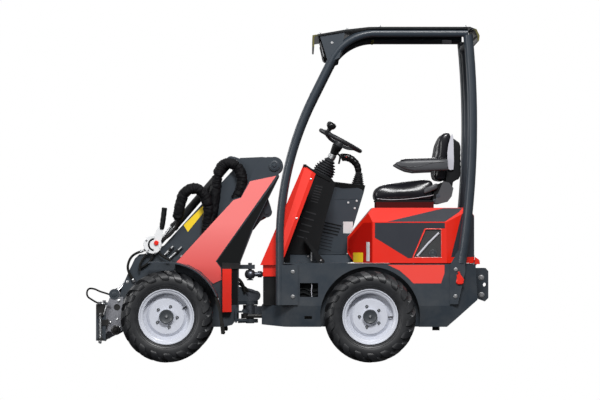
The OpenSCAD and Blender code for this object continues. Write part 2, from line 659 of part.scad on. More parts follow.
// Hoses
hose_y = -105.8;
upper_loop = [[-330, hose_y, 1000], [-300, hose_y, 1060], [-285, hose_y, 1130], [-310, hose_y, 1203],
    [-362, hose_y, 1236], [-412, hose_y, 1215], [-440, hose_y, 1150], [-453, hose_y, 1068],
    [-468, hose_y, 940], [-500, hose_y, 830]];
lower_loop = [[-508, hose_y, 790], [-502, -112, 870], [-497, -130, 960], [-530, -138, 1048],
    [-583, -138, 1077], [-642, -135, 1052], [-672, -128, 981], [-690, -118, 880]];
lower_tail = [[-690, -118, 892], [-700, -114, 840], [-735, -112, 792], [-790, -112, 752]];
nose_hose = [[-905, -91.7, 690], [-968, -91.7, 660], [-998, -91.7, 612], [-998, -90, 560],
    [-962, -80, 493]];
front_hose = [[-1072, -205.7, 382], [-1085, -205, 405], [-1125, -200, 421], [-1167, -196, 434],
    [-1205, -192, 450], [-1237, -190, 452], [-1251, -190, 432], [-1246, -190, 403],
    [-1215, -190, 380], [-1180, -190, 362], [-1145, -190, 358.2]];
module hose_loops() color("#1a1b1c") {
    hose(upper_loop, 32, 12);
    hose(lower_loop, 31, 12);
    hose(lower_tail, 17, 10);
}
module nose_hoses() color("#1a1b1c") hose(nose_hose, 8, 8);
module coupler_hose() color("#1a1b1c") hose(front_hose, 6, 8);

// Wheels
module wheel_place(x, s) translate([x, s * wheel_y, axle_z]) rotate([s > 0 ? -90 : 90, 0, 0]) children();
carcass_r = tyre_r - lug_h;
tyre_shell = [[rim_r + 0.4, 56], [165, 57.5], [173, 60], [180, 65], [190, 70.5], [205, 74], [222, 74.8],
    [238, 73], [250, 69], [257, 61], [261, 48], [carcass_r, 28]];
lug_shell = [[215, 75.3], [236, 75.6], [256, 73.6], [268, 69.5], [276, 62], [281, 48], [tyre_r, 28]];
function around(half) = concat(half, [for (i = [len(half) - 1:-1:0]) [half[i][0], -half[i][1]]]);
// A field tyre: its carcass, and two rows of slanted lugs cut to the tread's round outside.
module tyre() color("#17181a") {
    rotate_extrude($fn = 96) polygon(around(tyre_shell));
    intersection() {
        rotate_extrude($fn = 96) polygon(around(lug_shell));
        for (s = [-1, 1], i = [0:lugs - 1]) rotate([0, 0, (i + (s > 0 ? 0.5 : 0)) * 360 / lugs])
            translate([tyre_r - 26, 0, s * 40]) rotate([s * lug_slant, 0, 0])
                cube([70, 25, 88], center = true);
    }
}
module rim() color("#c8ccd0") {
    rotate_extrude($fn = 96) polygon([[flange_r - 5, 66], [flange_r, 66], [flange_r, 60], [rim_r, 56.5],
        [rim_r, -56.5], [flange_r, -60], [flange_r, -66], [flange_r - 5, -66], [158, -58], [146, -52],
        [146, -6], [118, -6], [100, 10], [shaft_r + fit, 10], [shaft_r + fit, 18], [106, 18],
        [124, 2], [141, 2], [141, 28], [146, 34], [146, 52], [158, 58]]);
    difference() {
        translate([0, 0, 18]) cylinder(h = 24, r = 46);
        translate([0, 0, 10]) cylinder(h = 26, r = shaft_r + fit);
    }
}
module tyre_place(x, s) translate([x, s * wheel_y, axle_z]) rotate([90, 0, 0]) children();
module tyre_front_left() tyre_place(front_axle_x, -1) tyre();
module tyre_front_right() tyre_place(front_axle_x, 1) tyre();
module tyre_rear_left() tyre_place(rear_axle_x, -1) tyre();
module tyre_rear_right() tyre_place(rear_axle_x, 1) tyre();
module rim_front_left() wheel_place(front_axle_x, -1) rim();
module rim_front_right() wheel_place(front_axle_x, 1) rim();
module rim_rear_left() wheel_place(rear_axle_x, -1) rim();
module rim_rear_right() wheel_place(rear_axle_x, 1) rim();

rear_chassis();
hitch_plate();
engine_block();
floor_plate();
front_cowl();
steering_column();
control_console();
drive_controls();
pedals();
rops_left();
rops_right();
rops_cross_tubes();
roof_panel();
work_lamps();
battery_boxes();
step_caps();
rear_joint();
rear_hub_motors();
steer_barrel();
steering_wheel();
hood_shell();
seat_plinth();
seat_cushion();
seat_back();
seat_shell();
armrests();
front_chassis();
swivel_casting();
tower();
front_fenders();
mud_flaps();
frame_covers();
front_hub_motors();
boom_arm();
hydraulic_coupler();
lift_barrel();
lift_rod();
tilt_barrel();
tilt_rod();
steer_rod();
quick_coupler();
lock_pins();
hose_loops();
nose_hoses();
coupler_hose();
tyre_front_left();
tyre_front_right();
tyre_rear_left();
tyre_rear_right();
rim_front_left();
rim_front_right();
rim_rear_left();
rim_rear_right();
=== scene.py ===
"""Looks of the articulated mini loader: camera, materials, and the pieces that the CAD frame leaves plain."""

import math

import bmesh
import bpy
from mathutils import Matrix, Vector, noise


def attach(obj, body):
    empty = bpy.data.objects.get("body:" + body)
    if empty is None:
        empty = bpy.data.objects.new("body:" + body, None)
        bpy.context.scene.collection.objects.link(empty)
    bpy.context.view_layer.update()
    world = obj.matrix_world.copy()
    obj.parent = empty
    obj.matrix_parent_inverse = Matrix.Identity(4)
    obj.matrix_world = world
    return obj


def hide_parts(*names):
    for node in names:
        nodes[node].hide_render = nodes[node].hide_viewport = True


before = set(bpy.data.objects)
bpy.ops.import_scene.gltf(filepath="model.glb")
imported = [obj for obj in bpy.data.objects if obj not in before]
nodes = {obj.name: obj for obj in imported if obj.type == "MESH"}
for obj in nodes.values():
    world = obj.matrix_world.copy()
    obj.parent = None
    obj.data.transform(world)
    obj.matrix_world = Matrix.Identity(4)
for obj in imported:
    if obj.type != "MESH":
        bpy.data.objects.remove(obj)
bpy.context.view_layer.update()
MM = 0.001

# The machine's own measures, in millimetres, as in the frame
AXLE_Z = 283
FRONT_AXLE_X = -746
REAR_AXLE_X = 508
WHEEL_Y = 415
SKIRT_Y = 410
TOWER_Y = 150
COWL_Y = 330
COLUMN_TILT = math.radians(28)
STEERING_R = 139

# The hood's half widths, the heights of its fold and top, and where its nose and tail taper
HOOD_Y = 360
HOOD_TOP_Y = 300
HOOD_NOSE_Y = 140
HOOD_FOLD_Z = 867
HOOD_TOP_Z = 955
HOOD_NOSE_X = 373
HOOD_NOSE_LENGTH = 152
HOOD_TAIL_X = 982
HOOD_END_X = 1158


# Camera and light

CAMERA_PLACE = (0.076, -21.475, 0.758)
CAMERA_PITCH = math.radians(90.664)
CAMERA_LENS = 204.9


def link_object(name, data):
    """Adds an object with this data to the scene."""
    ob = bpy.data.objects.new(name, data)
    bpy.context.scene.collection.objects.link(ob)
    return ob


def make_camera():
    """The photograph's view: level with the left side, from 21 m away."""
    data = bpy.data.cameras.new("photo_camera")
    data.sensor_width = 36
    data.lens = CAMERA_LENS
    data.clip_end = 100
    camera = link_object("photo_camera", data)
    camera.location = CAMERA_PLACE
    camera.rotation_euler = (CAMERA_PITCH, 0, 0)
    bpy.context.scene.camera = camera


def make_world():
    """A white page behind the machine and a soft sky round it, darker from below."""
    world = bpy.data.worlds.new("studio")
    bpy.context.scene.world = world
    world.use_nodes = True
    tree = world.node_tree
    tree.nodes.clear()
    out = tree.nodes.new("ShaderNodeOutputWorld")
    mix = tree.nodes.new("ShaderNodeMixShader")
    page = tree.nodes.new("ShaderNodeBackground")
    page.inputs["Color"].default_value = (1, 1, 1, 1)
    sky = tree.nodes.new("ShaderNodeBackground")
    sky.inputs["Strength"].default_value = 0.6
    path = tree.nodes.new("ShaderNodeLightPath")
    place = tree.nodes.new("ShaderNodeTexCoord")
    split = tree.nodes.new("ShaderNodeSeparateXYZ")
    ramp = tree.nodes.new("ShaderNodeValToRGB")
    ramp.color_ramp.elements[0].position = 0.0
    ramp.color_ramp.elements[0].color = (0.12, 0.12, 0.13, 1)
    ramp.color_ramp.elements[1].position = 1.0
    ramp.color_ramp.elements[1].color = (1.0, 1.0, 1.0, 1)
    for position, level in ((0.44, 0.12), (0.52, 0.36), (0.7, 0.6)):
        stop = ramp.color_ramp.elements.new(position)
        stop.color = (level, level, level * 1.02, 1)
    half = tree.nodes.new("ShaderNodeMath")
    half.operation = "MULTIPLY_ADD"
    half.inputs[1].default_value = 0.5
    half.inputs[2].default_value = 0.5
    link = tree.links.new
    link(place.outputs["Generated"], split.inputs[0])
    link(split.outputs["Z"], half.inputs[0])
    link(half.outputs[0], ramp.inputs[0])
    link(ramp.outputs[0], sky.inputs["Color"])
    link(path.outputs["Is Camera Ray"], mix.inputs[0])
    link(sky.outputs[0], mix.inputs[1])
    link(page.outputs[0], mix.inputs[2])
    link(mix.outputs[0], out.inputs[0])


def make_light(name, place, aim, size, watts):
    """A rectangular lamp, unseen by the camera; places in metres."""
    data = bpy.data.lights.new(name, "AREA")
    data.shape = "RECTANGLE"
    data.size, data.size_y = size
    data.energy = watts
    light = link_object(name, data)
    light.location = place
    light.rotation_euler = (Vector(aim) - Vector(place)).to_track_quat("-Z", "Y").to_euler()
    light.visible_camera = False


make_camera()
make_world()
bpy.context.scene.view_settings.view_transform = "Standard"
make_light("key", (0.8, -6.6, 5.6), (0, 0, 0.9), (2.4, 1.8), 600)
make_light("side", (-4.5, -6.0, 1.8), (0, 0, 0.8), (3, 2), 130)
make_light("top", (0, -0.6, 6.4), (0, 0, 0.8), (6, 1.2), 110)
make_light("far", (2.0, 6.5, 4.0), (0, 0, 0.9), (4, 3), 220)
make_light("far_front", (-6.5, 3.0, 3.0), (0, 0, 0.9), (3, 3), 160)


# Shader node groups

COLOUR = "NodeSocketColor"
VALUE = "NodeSocketFloat"


def new_group(name, inputs, outputs):
    """A shader node group: inputs are (label, kind, value) and outputs (label, kind)."""
    group = bpy.data.node_groups.new(name, "ShaderNodeTree")
    for label, kind, value in inputs:
        socket = group.interface.new_socket(name=label, in_out="INPUT", socket_type=kind)
        socket.default_value = value
    for label, kind in outputs:
        group.interface.new_socket(name=label, in_out="OUTPUT", socket_type=kind)
    start = group.nodes.new("NodeGroupInput")
    end = group.nodes.new("NodeGroupOutput")
    return group, start.outputs, end.inputs


def plug(tree, value, socket):
    """Puts a plain value into a socket, or links another socket to it."""
    if isinstance(value, bpy.types.NodeSocket):
        tree.links.new(value, socket)
    else:
        socket.default_value = value


def object_place(tree):
    """The place on the object, in metres."""
    return tree.nodes.new("ShaderNodeTexCoord").outputs["Object"]


def object_axis(tree, axis):
    """The place along one axis of the object, in metres."""
    split = tree.nodes.new("ShaderNodeSeparateXYZ")
    tree.links.new(object_place(tree), split.inputs[0])
    return split.outputs[axis]


def add_math(tree, operation, *values, clamp=False):
    """The result of one sum; each value is a number or a socket."""
    node = tree.nodes.new("ShaderNodeMath")
    node.operation = operation
    node.use_clamp = clamp
    for value, socket in zip(values, node.inputs):
        plug(tree, value, socket)
    return node.outputs[0]


def add_mix(tree, factor, first, second):
    """A colour between two; each is a colour or a socket."""
    node = tree.nodes.new("ShaderNodeMix")
    node.data_type = "RGBA"
    for label, value in (("Factor", factor), ("A", first), ("B", second)):
        plug(tree, value, node.inputs[label])
    return node.outputs["Result"]


def add_noise(tree, scale, detail, rough):
    """Fractal noise over the object; each value is a number or a socket."""
    node = tree.nodes.new("ShaderNodeTexNoise")
    for label, value in (("Scale", scale), ("Detail", detail), ("Roughness", rough)):
        plug(tree, value, node.inputs[label])
    tree.links.new(object_place(tree), node.inputs["Vector"])
    return node.outputs["Fac"]


def add_range(tree, source, low, high, to_low=0.0, to_high=1.0):
    """Stretches low to high over another range, and clamps beyond it."""
    node = tree.nodes.new("ShaderNodeMapRange")
    for label, value in (("Value", source), ("From Min", low), ("From Max", high), ("To Min", to_low),
                         ("To Max", to_high)):
        plug(tree, value, node.inputs[label])
    return node.outputs[0]


def build_dust_group():
    """Road dust: thicker near the ground and in blotches. Gives the coloured surface and a mask."""
    group, given, result = new_group(
        "road_dust",
        [("Base", COLOUR, (0.5, 0.5, 0.5, 1)), ("Dust", COLOUR, (0.36, 0.33, 0.29, 1)),
         ("Amount", VALUE, 0.2), ("Height", VALUE, 0.7)],
        [("Color", COLOUR), ("Mask", VALUE)])
    level = add_math(group, "DIVIDE", object_axis(group, "Z"), given["Height"])
    fall = add_range(group, level, 0.0, 1.0, 1.0, 0.15)
    blotches = add_range(group, add_noise(group, 9.0, 6, 0.65), 0.35, 0.75)
    both = add_math(group, "MULTIPLY", fall, blotches)
    amount = add_math(group, "MULTIPLY", both, given["Amount"], clamp=True)
    plug(group, add_mix(group, amount, given["Base"], given["Dust"]), result["Color"])
    plug(group, amount, result["Mask"])
    return group


def build_scuff_group():
    """Fine scratches and rubbed patches: a roughness value round a middle one."""
    group, given, result = new_group(
        "rubbed_finish", [("Roughness", VALUE, 0.4), ("Spread", VALUE, 0.12), ("Scale", VALUE, 14.0)],
        [("Roughness", VALUE)])
    centred = add_math(group, "SUBTRACT", add_noise(group, given["Scale"], 7, 0.7), 0.5)
    rough = add_math(group, "MULTIPLY_ADD", centred, given["Spread"], given["Roughness"], clamp=True)
    plug(group, rough, result["Roughness"])
    return group


def build_pebble_group():
    """A pebbled grain, as on moulded plastic and vinyl: a height value."""
    group, given, result = new_group("pebble_grain", [("Scale", VALUE, 400.0)], [("Height", VALUE)])
    cells = group.nodes.new("ShaderNodeTexVoronoi")
    cells.feature = "SMOOTH_F1"
    cells.inputs["Smoothness"].default_value = 0.6
    plug(group, object_place(group), cells.inputs["Vector"])
    plug(group, given["Scale"], cells.inputs["Scale"])
    plug(group, cells.outputs["Distance"], result["Height"])
    return group


def build_patch_group():
    """Slow light and dark patches: a colour between two."""
    group, given, result = new_group(
        "patchy_colour", [("Dark", COLOUR, (0.4, 0.4, 0.4, 1)), ("Light", COLOUR, (0.6, 0.6, 0.6, 1)),
                          ("Scale", VALUE, 4.0)],
        [("Color", COLOUR)])
    patches = add_noise(group, given["Scale"], 3, 0.55)
    plug(group, add_mix(group, patches, given["Dark"], given["Light"]), result["Color"])
    return group


def build_skin_group():
    """The uneven skin of paint, rubber or a casting: a height value."""
    group, given, result = new_group(
        "uneven_skin", [("Scale", VALUE, 420.0), ("Detail", VALUE, 2.0), ("Roughness", VALUE, 0.55)],
        [("Height", VALUE)])
    plug(group, add_noise(group, given["Scale"], given["Detail"], given["Roughness"]), result["Height"])
    return group


DUST = build_dust_group()
SCUFF = build_scuff_group()
PEBBLE = build_pebble_group()
PATCHES = build_patch_group()
SKIN = build_skin_group()


# Materials

PLAIN_SPECULAR = 0.34
DULL_SPECULAR = 0.13
ROOF_MIDDLE_X = 0.667


def use_group(tree, group, **values):
    """Places a group in a material with its own values."""
    node = tree.nodes.new("ShaderNodeGroup")
    node.node_tree = group
    for label, value in values.items():
        plug(tree, value, node.inputs[label])
    return node


def start_material(name, **values):
    """A new material, with plain values for its Principled shader by label, spaces as underscores."""
    material = bpy.data.materials.new(name)
    material.use_nodes = True
    tree = material.node_tree
    shader = tree.nodes["Principled BSDF"]
    for label, value in values.items():
        shader.inputs[label.replace("_", " ")].default_value = value
    return material, tree, shader


def add_bump(tree, shader, height, strength, distance):
    """Raises the surface by a height value; distance in metres."""
    bump = tree.nodes.new("ShaderNodeBump")
    bump.inputs["Strength"].default_value = strength
    bump.inputs["Distance"].default_value = distance
    tree.links.new(height, bump.inputs["Height"])
    tree.links.new(bump.outputs["Normal"], shader.inputs["Normal"])


def add_skin(tree, shader, scale, detail, strength, distance, rough=0.55):
    """Orange peel, a casting's skin or the like."""
    skin = use_group(tree, SKIN, Scale=scale, Detail=detail, Roughness=rough)
    add_bump(tree, shader, skin.outputs["Height"], strength, distance)


def tone(tree, colour, scale, spread):
    """A colour with slow light and dark patches round it."""
    dark = [c * (1 - spread) for c in colour] + [1]
    light = [min(1, c * (1 + spread)) for c in colour] + [1]
    return use_group(tree, PATCHES, Dark=dark, Light=light, Scale=scale).outputs["Color"]


def add_dust(tree, shader, base, **values):
    """Lays dust over a base colour."""
    dusty = use_group(tree, DUST, Base=base, **values)
    tree.links.new(dusty.outputs["Color"], shader.inputs["Base Color"])


def rub(tree, shader, rough, spread, scale):
    """Scratches and rubbed patches round a roughness."""
    scuffs = use_group(tree, SCUFF, Roughness=rough, Spread=spread, Scale=scale)
    tree.links.new(scuffs.outputs["Roughness"], shader.inputs["Roughness"])


def paint(name, colour, rough, coat, dust, peel=0.02):
    """Sprayed enamel or powder coat: even colour, orange peel, a little dust low down."""
    material, tree, shader = start_material(
        name, Coat_Weight=coat, Coat_Roughness=0.12, Specular_IOR_Level=PLAIN_SPECULAR)
    add_dust(tree, shader, tone(tree, colour, 1.7, 0.05), Amount=dust, Height=0.9)
    rub(tree, shader, rough, 0.16, 11.0)
    add_skin(tree, shader, 420, 2, peel, 0.0006)
    return material


def red_with_painted_sky(name, low, high, bottom, top):
    """Red enamel with a painted sky reflection that makes it lighter towards its top; bottom and top in
    metres.
    """
    material, tree, shader = start_material(name, Coat_Weight=0.5)
    rise = add_range(tree, object_axis(tree, "Z"), bottom, top)
    plug(tree, add_mix(tree, rise, (*low, 1), (*high, 1)), shader.inputs["Base Color"])
    rub(tree, shader, 0.34, 0.14, 11.0)
    add_skin(tree, shader, 420, 2, 0.02, 0.0006)
    return material


def plastic(name, colour, rough, grain_scale=700.0, grain=0.12, dust=0.1):
    """Moulded plastic or rubber with a pebbled skin."""
    material, tree, shader = start_material(name, Specular_IOR_Level=PLAIN_SPECULAR)
    add_dust(tree, shader, tone(tree, colour, 4.0, 0.12), Amount=dust, Height=0.8)
    rub(tree, shader, rough, 0.14, 20.0)
    pebble = use_group(tree, PEBBLE, Scale=grain_scale)
    add_bump(tree, shader, pebble.outputs["Height"], grain, 0.0008)
    return material


def metal(name, colour, rough, grain=0.06, cast=False, spread=0.12):
    """Bare or plated metal; cast metal is coarse."""
    material, tree, shader = start_material(name, Metallic=0.75 if cast else 1.0)
    plug(tree, tone(tree, colour, 9.0, 0.1), shader.inputs["Base Color"])
    rub(tree, shader, rough, spread, 30.0)
    scale, strength, distance = (260, 0.5, 0.001) if cast else (900, grain, 0.0003)
    add_skin(tree, shader, scale, 5, strength, distance, 0.7)
    return material


def woven(name, colour):
    """The woven nylon sleeve round the hoses."""
    material, tree, shader = start_material(name)
    place = object_place(tree)
    threads = []
    for direction in ("X", "Z"):
        wave = tree.nodes.new("ShaderNodeTexWave")
        wave.bands_direction = direction
        wave.inputs["Scale"].default_value = 160
        wave.inputs["Distortion"].default_value = 0.6
        tree.links.new(place, wave.inputs["Vector"])
        threads.append(wave.outputs["Fac"])
    plug(tree, tone(tree, colour, 30.0, 0.3), shader.inputs["Base Color"])
    rub(tree, shader, 0.6, 0.2, 40.0)
    add_bump(tree, shader, add_math(tree, "MULTIPLY", *threads), 0.35, 0.0012)
    return material


def tyre_material():
    """Tyre rubber: matt, with grey dust thicker lower down and in blotches."""
    material, tree, shader = start_material("tyre_rubber")
    black = tone(tree, (0.0075, 0.0082, 0.0098), 14.0, 0.3)
    add_dust(tree, shader, black, Amount=0.22, Height=0.6, Dust=(0.085, 0.088, 0.095, 1))
    rub(tree, shader, 0.42, 0.2, 18.0)
    add_skin(tree, shader, 160, 6, 0.25, 0.001, 0.7)
    return material


def roof_material():
    """Smoked sheet, olive at its edges, that lets some light through."""
    material, tree, shader = start_material("smoked_roof", Transmission_Weight=0.25, Coat_Weight=0.4)
    away = add_math(tree, "SUBTRACT", object_axis(tree, "X"), ROOF_MIDDLE_X)
    lip = add_range(tree, add_math(tree, "ABSOLUTE", away), 0.475, 0.5)
    smoke = tone(tree, (0.03, 0.033, 0.034), 3.0, 0.15)
    plug(tree, add_mix(tree, lip, smoke, (0.15, 0.14, 0.05, 1)), shader.inputs["Base Color"])
    rub(tree, shader, 0.16, 0.12, 8.0)
    add_skin(tree, shader, 30, 2, 0.03, 0.001)
    return material


def lens_material():
    """Clear lamp lens with a silvery depth behind it."""
    material, tree, shader = start_material("lamp_lens", Roughness=0.08, Metallic=0.4, Coat_Weight=1.0)
    plug(tree, tone(tree, (0.75, 0.77, 0.8), 60.0, 0.2), shader.inputs["Base Color"])
    cells = use_group(tree, PEBBLE, Scale=120.0)
    add_bump(tree, shader, cells.outputs["Height"], 0.3, 0.002)
    return material


def screen_material():
    """Black perforated screen behind the hood's opening."""
    material, tree, shader = start_material("black_screen", Roughness=0.55)
    cells = tree.nodes.new("ShaderNodeTexVoronoi")
    cells.inputs["Scale"].default_value = 170
    cells.inputs["Randomness"].default_value = 0.0
    plug(tree, object_place(tree), cells.inputs["Vector"])
    hole = add_range(tree, cells.outputs["Distance"], 0.3, 0.42)
    steel = add_mix(tree, hole, (0.002, 0.002, 0.002, 1), (0.035, 0.037, 0.04, 1))
    plug(tree, steel, shader.inputs["Base Color"])
    add_bump(tree, shader, hole, 0.6, 0.001)
    return material


# Every finish on the machine, by a short name
RED = (0.72, 0.018, 0.007)
SLATE = (0.024, 0.033, 0.044)
M = {
    "red": paint("red_enamel", RED, 0.32, 0.55, 0.05),
    "painted_sky_red": red_with_painted_sky("sunlit_red_panel", (0.66, 0.075, 0.068), (0.84, 0.2, 0.19), 0.55, 0.86),
    "warm_red": paint("skirt_red_panel", (0.8, 0.06, 0.045), 0.34, 0.5, 0.03),
    # A brighter copy of the red: painted light on the cowl's sunlit side
    "cowl_red": paint("cowl_painted_sunlight_red", (0.95, 0.05, 0.035), 0.34, 0.5, 0.03),
    # A darker copy of the red: painted shade on the hood's oblique nose
    "nose_red": paint("shaded_red_side", (0.42, 0.006, 0.003), 0.36, 0.4, 0.03),
    # Slate made lighter: painted light on the console, which lies in shade
    "console": paint("console_slate_with_painted_light", (0.034, 0.046, 0.06), 0.42, 0.15, 0.08, 0.06),
    "bronze": metal("olive_plated_clip", (0.3, 0.27, 0.1), 0.4),
    "slate": paint("slate_powder_coat", SLATE, 0.42, 0.15, 0.12, 0.08),
    "shade": paint("slate_decal", (0.026, 0.029, 0.038), 0.36, 0.25, 0.03, 0.02),
    "black_steel": paint("black_enamel", (0.008, 0.0085, 0.0095), 0.32, 0.3, 0.1, 0.05),
    "rim": paint("silver_rim_paint", (0.55, 0.57, 0.63), 0.3, 0.3, 0.02, 0.04),
    "hub": paint("grey_hub_paint", (0.038, 0.045, 0.053), 0.42, 0.15, 0.08, 0.04),
    "armrest": plastic("grey_black_moulding", (0.062, 0.064, 0.07), 0.38, 700.0, 0.08, 0.02),
    "grey_rubber": plastic("grey_black_rubber", (0.02, 0.021, 0.024), 0.4, 500.0, 0.1, 0.02),
    "piping": plastic("pale_piping", (0.32, 0.32, 0.34), 0.45, 900.0, 0.02, 0.0),
    "plate_grey": paint("pale_side_plate", (0.5, 0.5, 0.55), 0.4, 0.2, 0.02, 0.02),
    "white": paint("white_enamel", (0.72, 0.73, 0.74), 0.35, 0.3, 0.04, 0.01),
    # Black for black parts, and black as painted shade: behind the tower's fold, in the console's louvre
    # slots and behind the skirt windows
    "black_and_painted_shade": paint("black_strip", (0.003, 0.004, 0.0045), 0.62, 0.0, 0.0, 0.06),
    # A darker copy of the red: painted shade on the seat plinth
    "plinth": paint("shaded_red_enamel", (0.05, 0.001, 0.001), 0.7, 0.0, 0.02),
    "yellow": paint("yellow_label", (0.86, 0.6, 0.02), 0.4, 0.3, 0.0, 0.0),
    "plastic": plastic("black_moulded_plastic", (0.006, 0.0065, 0.0075), 0.5, 700.0, 0.12, 0.03),
    "gloss": plastic("black_glossy_plastic", (0.007, 0.007, 0.008), 0.24, 900.0, 0.04, 0.02),
    "rubber": plastic("black_rubber", (0.008, 0.008, 0.008), 0.55, 500.0, 0.2, 0.08),
    "vinyl": plastic("black_seat_vinyl", (0.01, 0.01, 0.013), 0.22, 620.0, 0.1, 0.0),
    "sleeve": woven("woven_hose_sleeve", (0.0035, 0.0035, 0.0045)),
    "chrome": metal("chromed_rod", (0.78, 0.79, 0.81), 0.1, 0.02, spread=0.05),
    "zinc": metal("zinc_plated_steel", (0.6, 0.61, 0.62), 0.32),
    "cast": metal("cast_arm", (0.27, 0.275, 0.3), 0.4, cast=True),
    "dark_cast": metal("painted_casting", (0.1, 0.11, 0.13), 0.36, cast=True),
    "tyre": tyre_material(),
    "roof": roof_material(),
    "lens": lens_material(),
    "screen": screen_material(),
}

for dull in ("black_and_painted_shade", "plastic", "rubber", "sleeve", "plinth", "roof"):
    dull_shader = M[dull].node_tree.nodes["Principled BSDF"]
    dull_shader.inputs["Specular IOR Level"].default_value = DULL_SPECULAR

# Which look each solid of the frame gets
NODE_LOOK = {
    "slate": ["rear_chassis", "hitch_plate", "floor_plate", "rops_left", "rops_right",
              "rops_cross_tubes", "front_chassis", "tower", "front_fenders", "boom_arm"],
    "red": ["front_cowl", "step_caps", "hood_shell", "frame_covers"],
    "plastic": ["steering_column", "drive_controls", "pedals", "work_lamps", "battery_boxes", "seat_shell"],
    "gloss": ["steering_wheel"],
    "black_steel": ["rear_hub_motors", "front_hub_motors", "steer_rod", "steer_barrel",
                    "lift_barrel", "tilt_barrel", "engine_block"],
    "plinth": ["seat_plinth"],
    "cast": ["quick_coupler"],
    "dark_cast": ["swivel_casting", "rear_joint"],
    "console": ["control_console"],
    "roof": ["roof_panel"],
    "vinyl": ["seat_cushion", "seat_back", "armrests"],
    "chrome": ["lift_rod", "tilt_rod", "lock_pins"],
    "white": ["hydraulic_coupler"],
    "rubber": ["mud_flaps", "nose_hoses", "coupler_hose"],
    "sleeve": ["hose_loops"],
    "tyre": ["tyre_front_left", "tyre_front_right", "tyre_rear_left", "tyre_rear_right"],
    "rim": ["rim_front_left", "rim_front_right", "rim_rear_left", "rim_rear_right"],
}
# Width of a solid's rounded edges in millimetres, where it isn't 2
EDGE_ROUND = {"steering_column": 6, "control_console": 6, "battery_boxes": 8, "seat_shell": 10,
              "step_caps": 5, "work_lamps": 6, "hood_shell": 4, "quick_coupler": 3, "rear_joint": 4,
              "roof_panel": 2, "seat_plinth": 4, "hydraulic_coupler": 2, "drive_controls": 3}


def finish_cad_nodes():
    """Materials and small rounded edges on every solid that the frame brings."""
    for look, names in NODE_LOOK.items():
        for name in names:
            ob = nodes[name]
            ob.data.materials.clear()
            ob.data.materials.append(M[look])
            ob.data.shade_smooth()
            ob.data.set_sharp_from_angle(angle=math.radians(32))
            if look in ("tyre", "sleeve"):
                continue
            bevel = ob.modifiers.new("rounded_edges", "BEVEL")
            bevel.width = EDGE_ROUND.get(name, 2) * MM
            bevel.segments = 2
            bevel.limit_method = "ANGLE"
            bevel.angle_limit = math.radians(40)
            bevel.harden_normals = True


finish_cad_nodes()


# Small tools for making pieces

LOFT_SIDES = 28


def mesh_from(name, bm):
    """Turns the faces outwards and makes a mesh of them."""
    bmesh.ops.recalc_face_normals(bm, faces=bm.faces)
    mesh = bpy.data.meshes.new(name)
    bm.to_mesh(mesh)
    bm.free()
    return mesh


def finish_piece(name, bm, body, looks, smooth=35):
    """Makes a piece that rides on a body; a face's slot is its place in looks, smooth an angle in degrees."""
    mesh = mesh_from(name, bm)
    for look in looks:
        mesh.materials.append(M[look])
    ob = link_object(name, mesh)
    mesh.shade_smooth()
    mesh.set_sharp_from_angle(angle=math.radians(smooth))
    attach(ob, body)
    return ob


def bridge(bm, loops, slot=0, closed=False):
    """Faces between neighbouring loops of points, and over both ends unless the form closes on itself."""
    pairs = list(zip(loops, loops[1:]))
    if closed:
        pairs.append((loops[-1], loops[0]))
    for low, high in pairs:
        count = len(low)
        for k in range(count):
            face = bm.faces.new((low[k], low[(k + 1) % count], high[(k + 1) % count], high[k]))
            face.material_index = slot
    if not closed:
        for loop in (loops[0], loops[-1]):
            bm.faces.new(loop).material_index = slot


def turn_to(axis):
    """Turns the Z axis to the one given."""
    return Vector(axis).to_track_quat("Z", "Y").to_matrix().to_4x4()


def add_rings(bm, place, axis, rings, sides=32, slot=0, closed=False):
    """A turned form: rings are (height along the axis, radius) in millimetres; ends are closed."""
    matrix = Matrix.Translation(Vector(place) * MM) @ turn_to(axis)
    loops = []
    for height, radius in rings:
        loop = []
        for k in range(sides):
            a = math.tau * k / sides
            spot = Vector((radius * MM * math.cos(a), radius * MM * math.sin(a), height * MM))
            loop.append(bm.verts.new(matrix @ spot))
        loops.append(loop)
    bridge(bm, loops, slot, closed)


def add_bolt(bm, place, axis, size, slot):
    """A hexagon bolt head on its washer; size is the thread."""
    add_rings(bm, place, axis, [(0, size * 1.05), (size * 0.16, size * 1.05)], 20, slot)
    add_rings(bm, Vector(place) + Vector(axis).normalized() * size * 0.16, axis,
              [(0, size * 0.88), (size * 0.5, size * 0.88), (size * 0.6, size * 0.72)], 6, slot)


def add_box(bm, low, high, slot=0):
    """A small block between two corners, for clips, ribs and straps."""
    corners = [bm.verts.new(Vector((x, y, z)) * MM)
               for x in (low[0], high[0]) for y in (low[1], high[1]) for z in (low[2], high[2])]
    for quad in ((0, 1, 3, 2), (4, 6, 7, 5), (0, 4, 5, 1), (2, 3, 7, 6), (0, 2, 6, 4), (1, 5, 7, 3)):
        bm.faces.new([corners[k] for k in quad]).material_index = slot


def add_plate(bm, outline, y0, y1, slot=0, surface=None):
    """A flat outline in X and Z from y0 to y1; surface(x, z), where it is given, is added to both."""
    near, far = [], []
    for x, z in outline:
        base = surface(x, z) if surface else 0
        near.append(bm.verts.new(Vector((x, base + y0, z)) * MM))
        far.append(bm.verts.new(Vector((x, base + y1, z)) * MM))
    count = len(outline)
    bm.faces.new(near).material_index = slot
    bm.faces.new(far).material_index = slot
    for k in range(count):
        bm.faces.new((near[k], near[(k + 1) % count], far[(k + 1) % count], far[k])).material_index = slot


def mirror_all(bm):
    """Adds the same thing on the other side."""
    made = bmesh.ops.duplicate(bm, geom=bm.verts[:] + bm.edges[:] + bm.faces[:])
    verts = [g for g in made["geom"] if isinstance(g, bmesh.types.BMVert)]
    bmesh.ops.scale(bm, vec=(1, -1, 1), verts=verts)


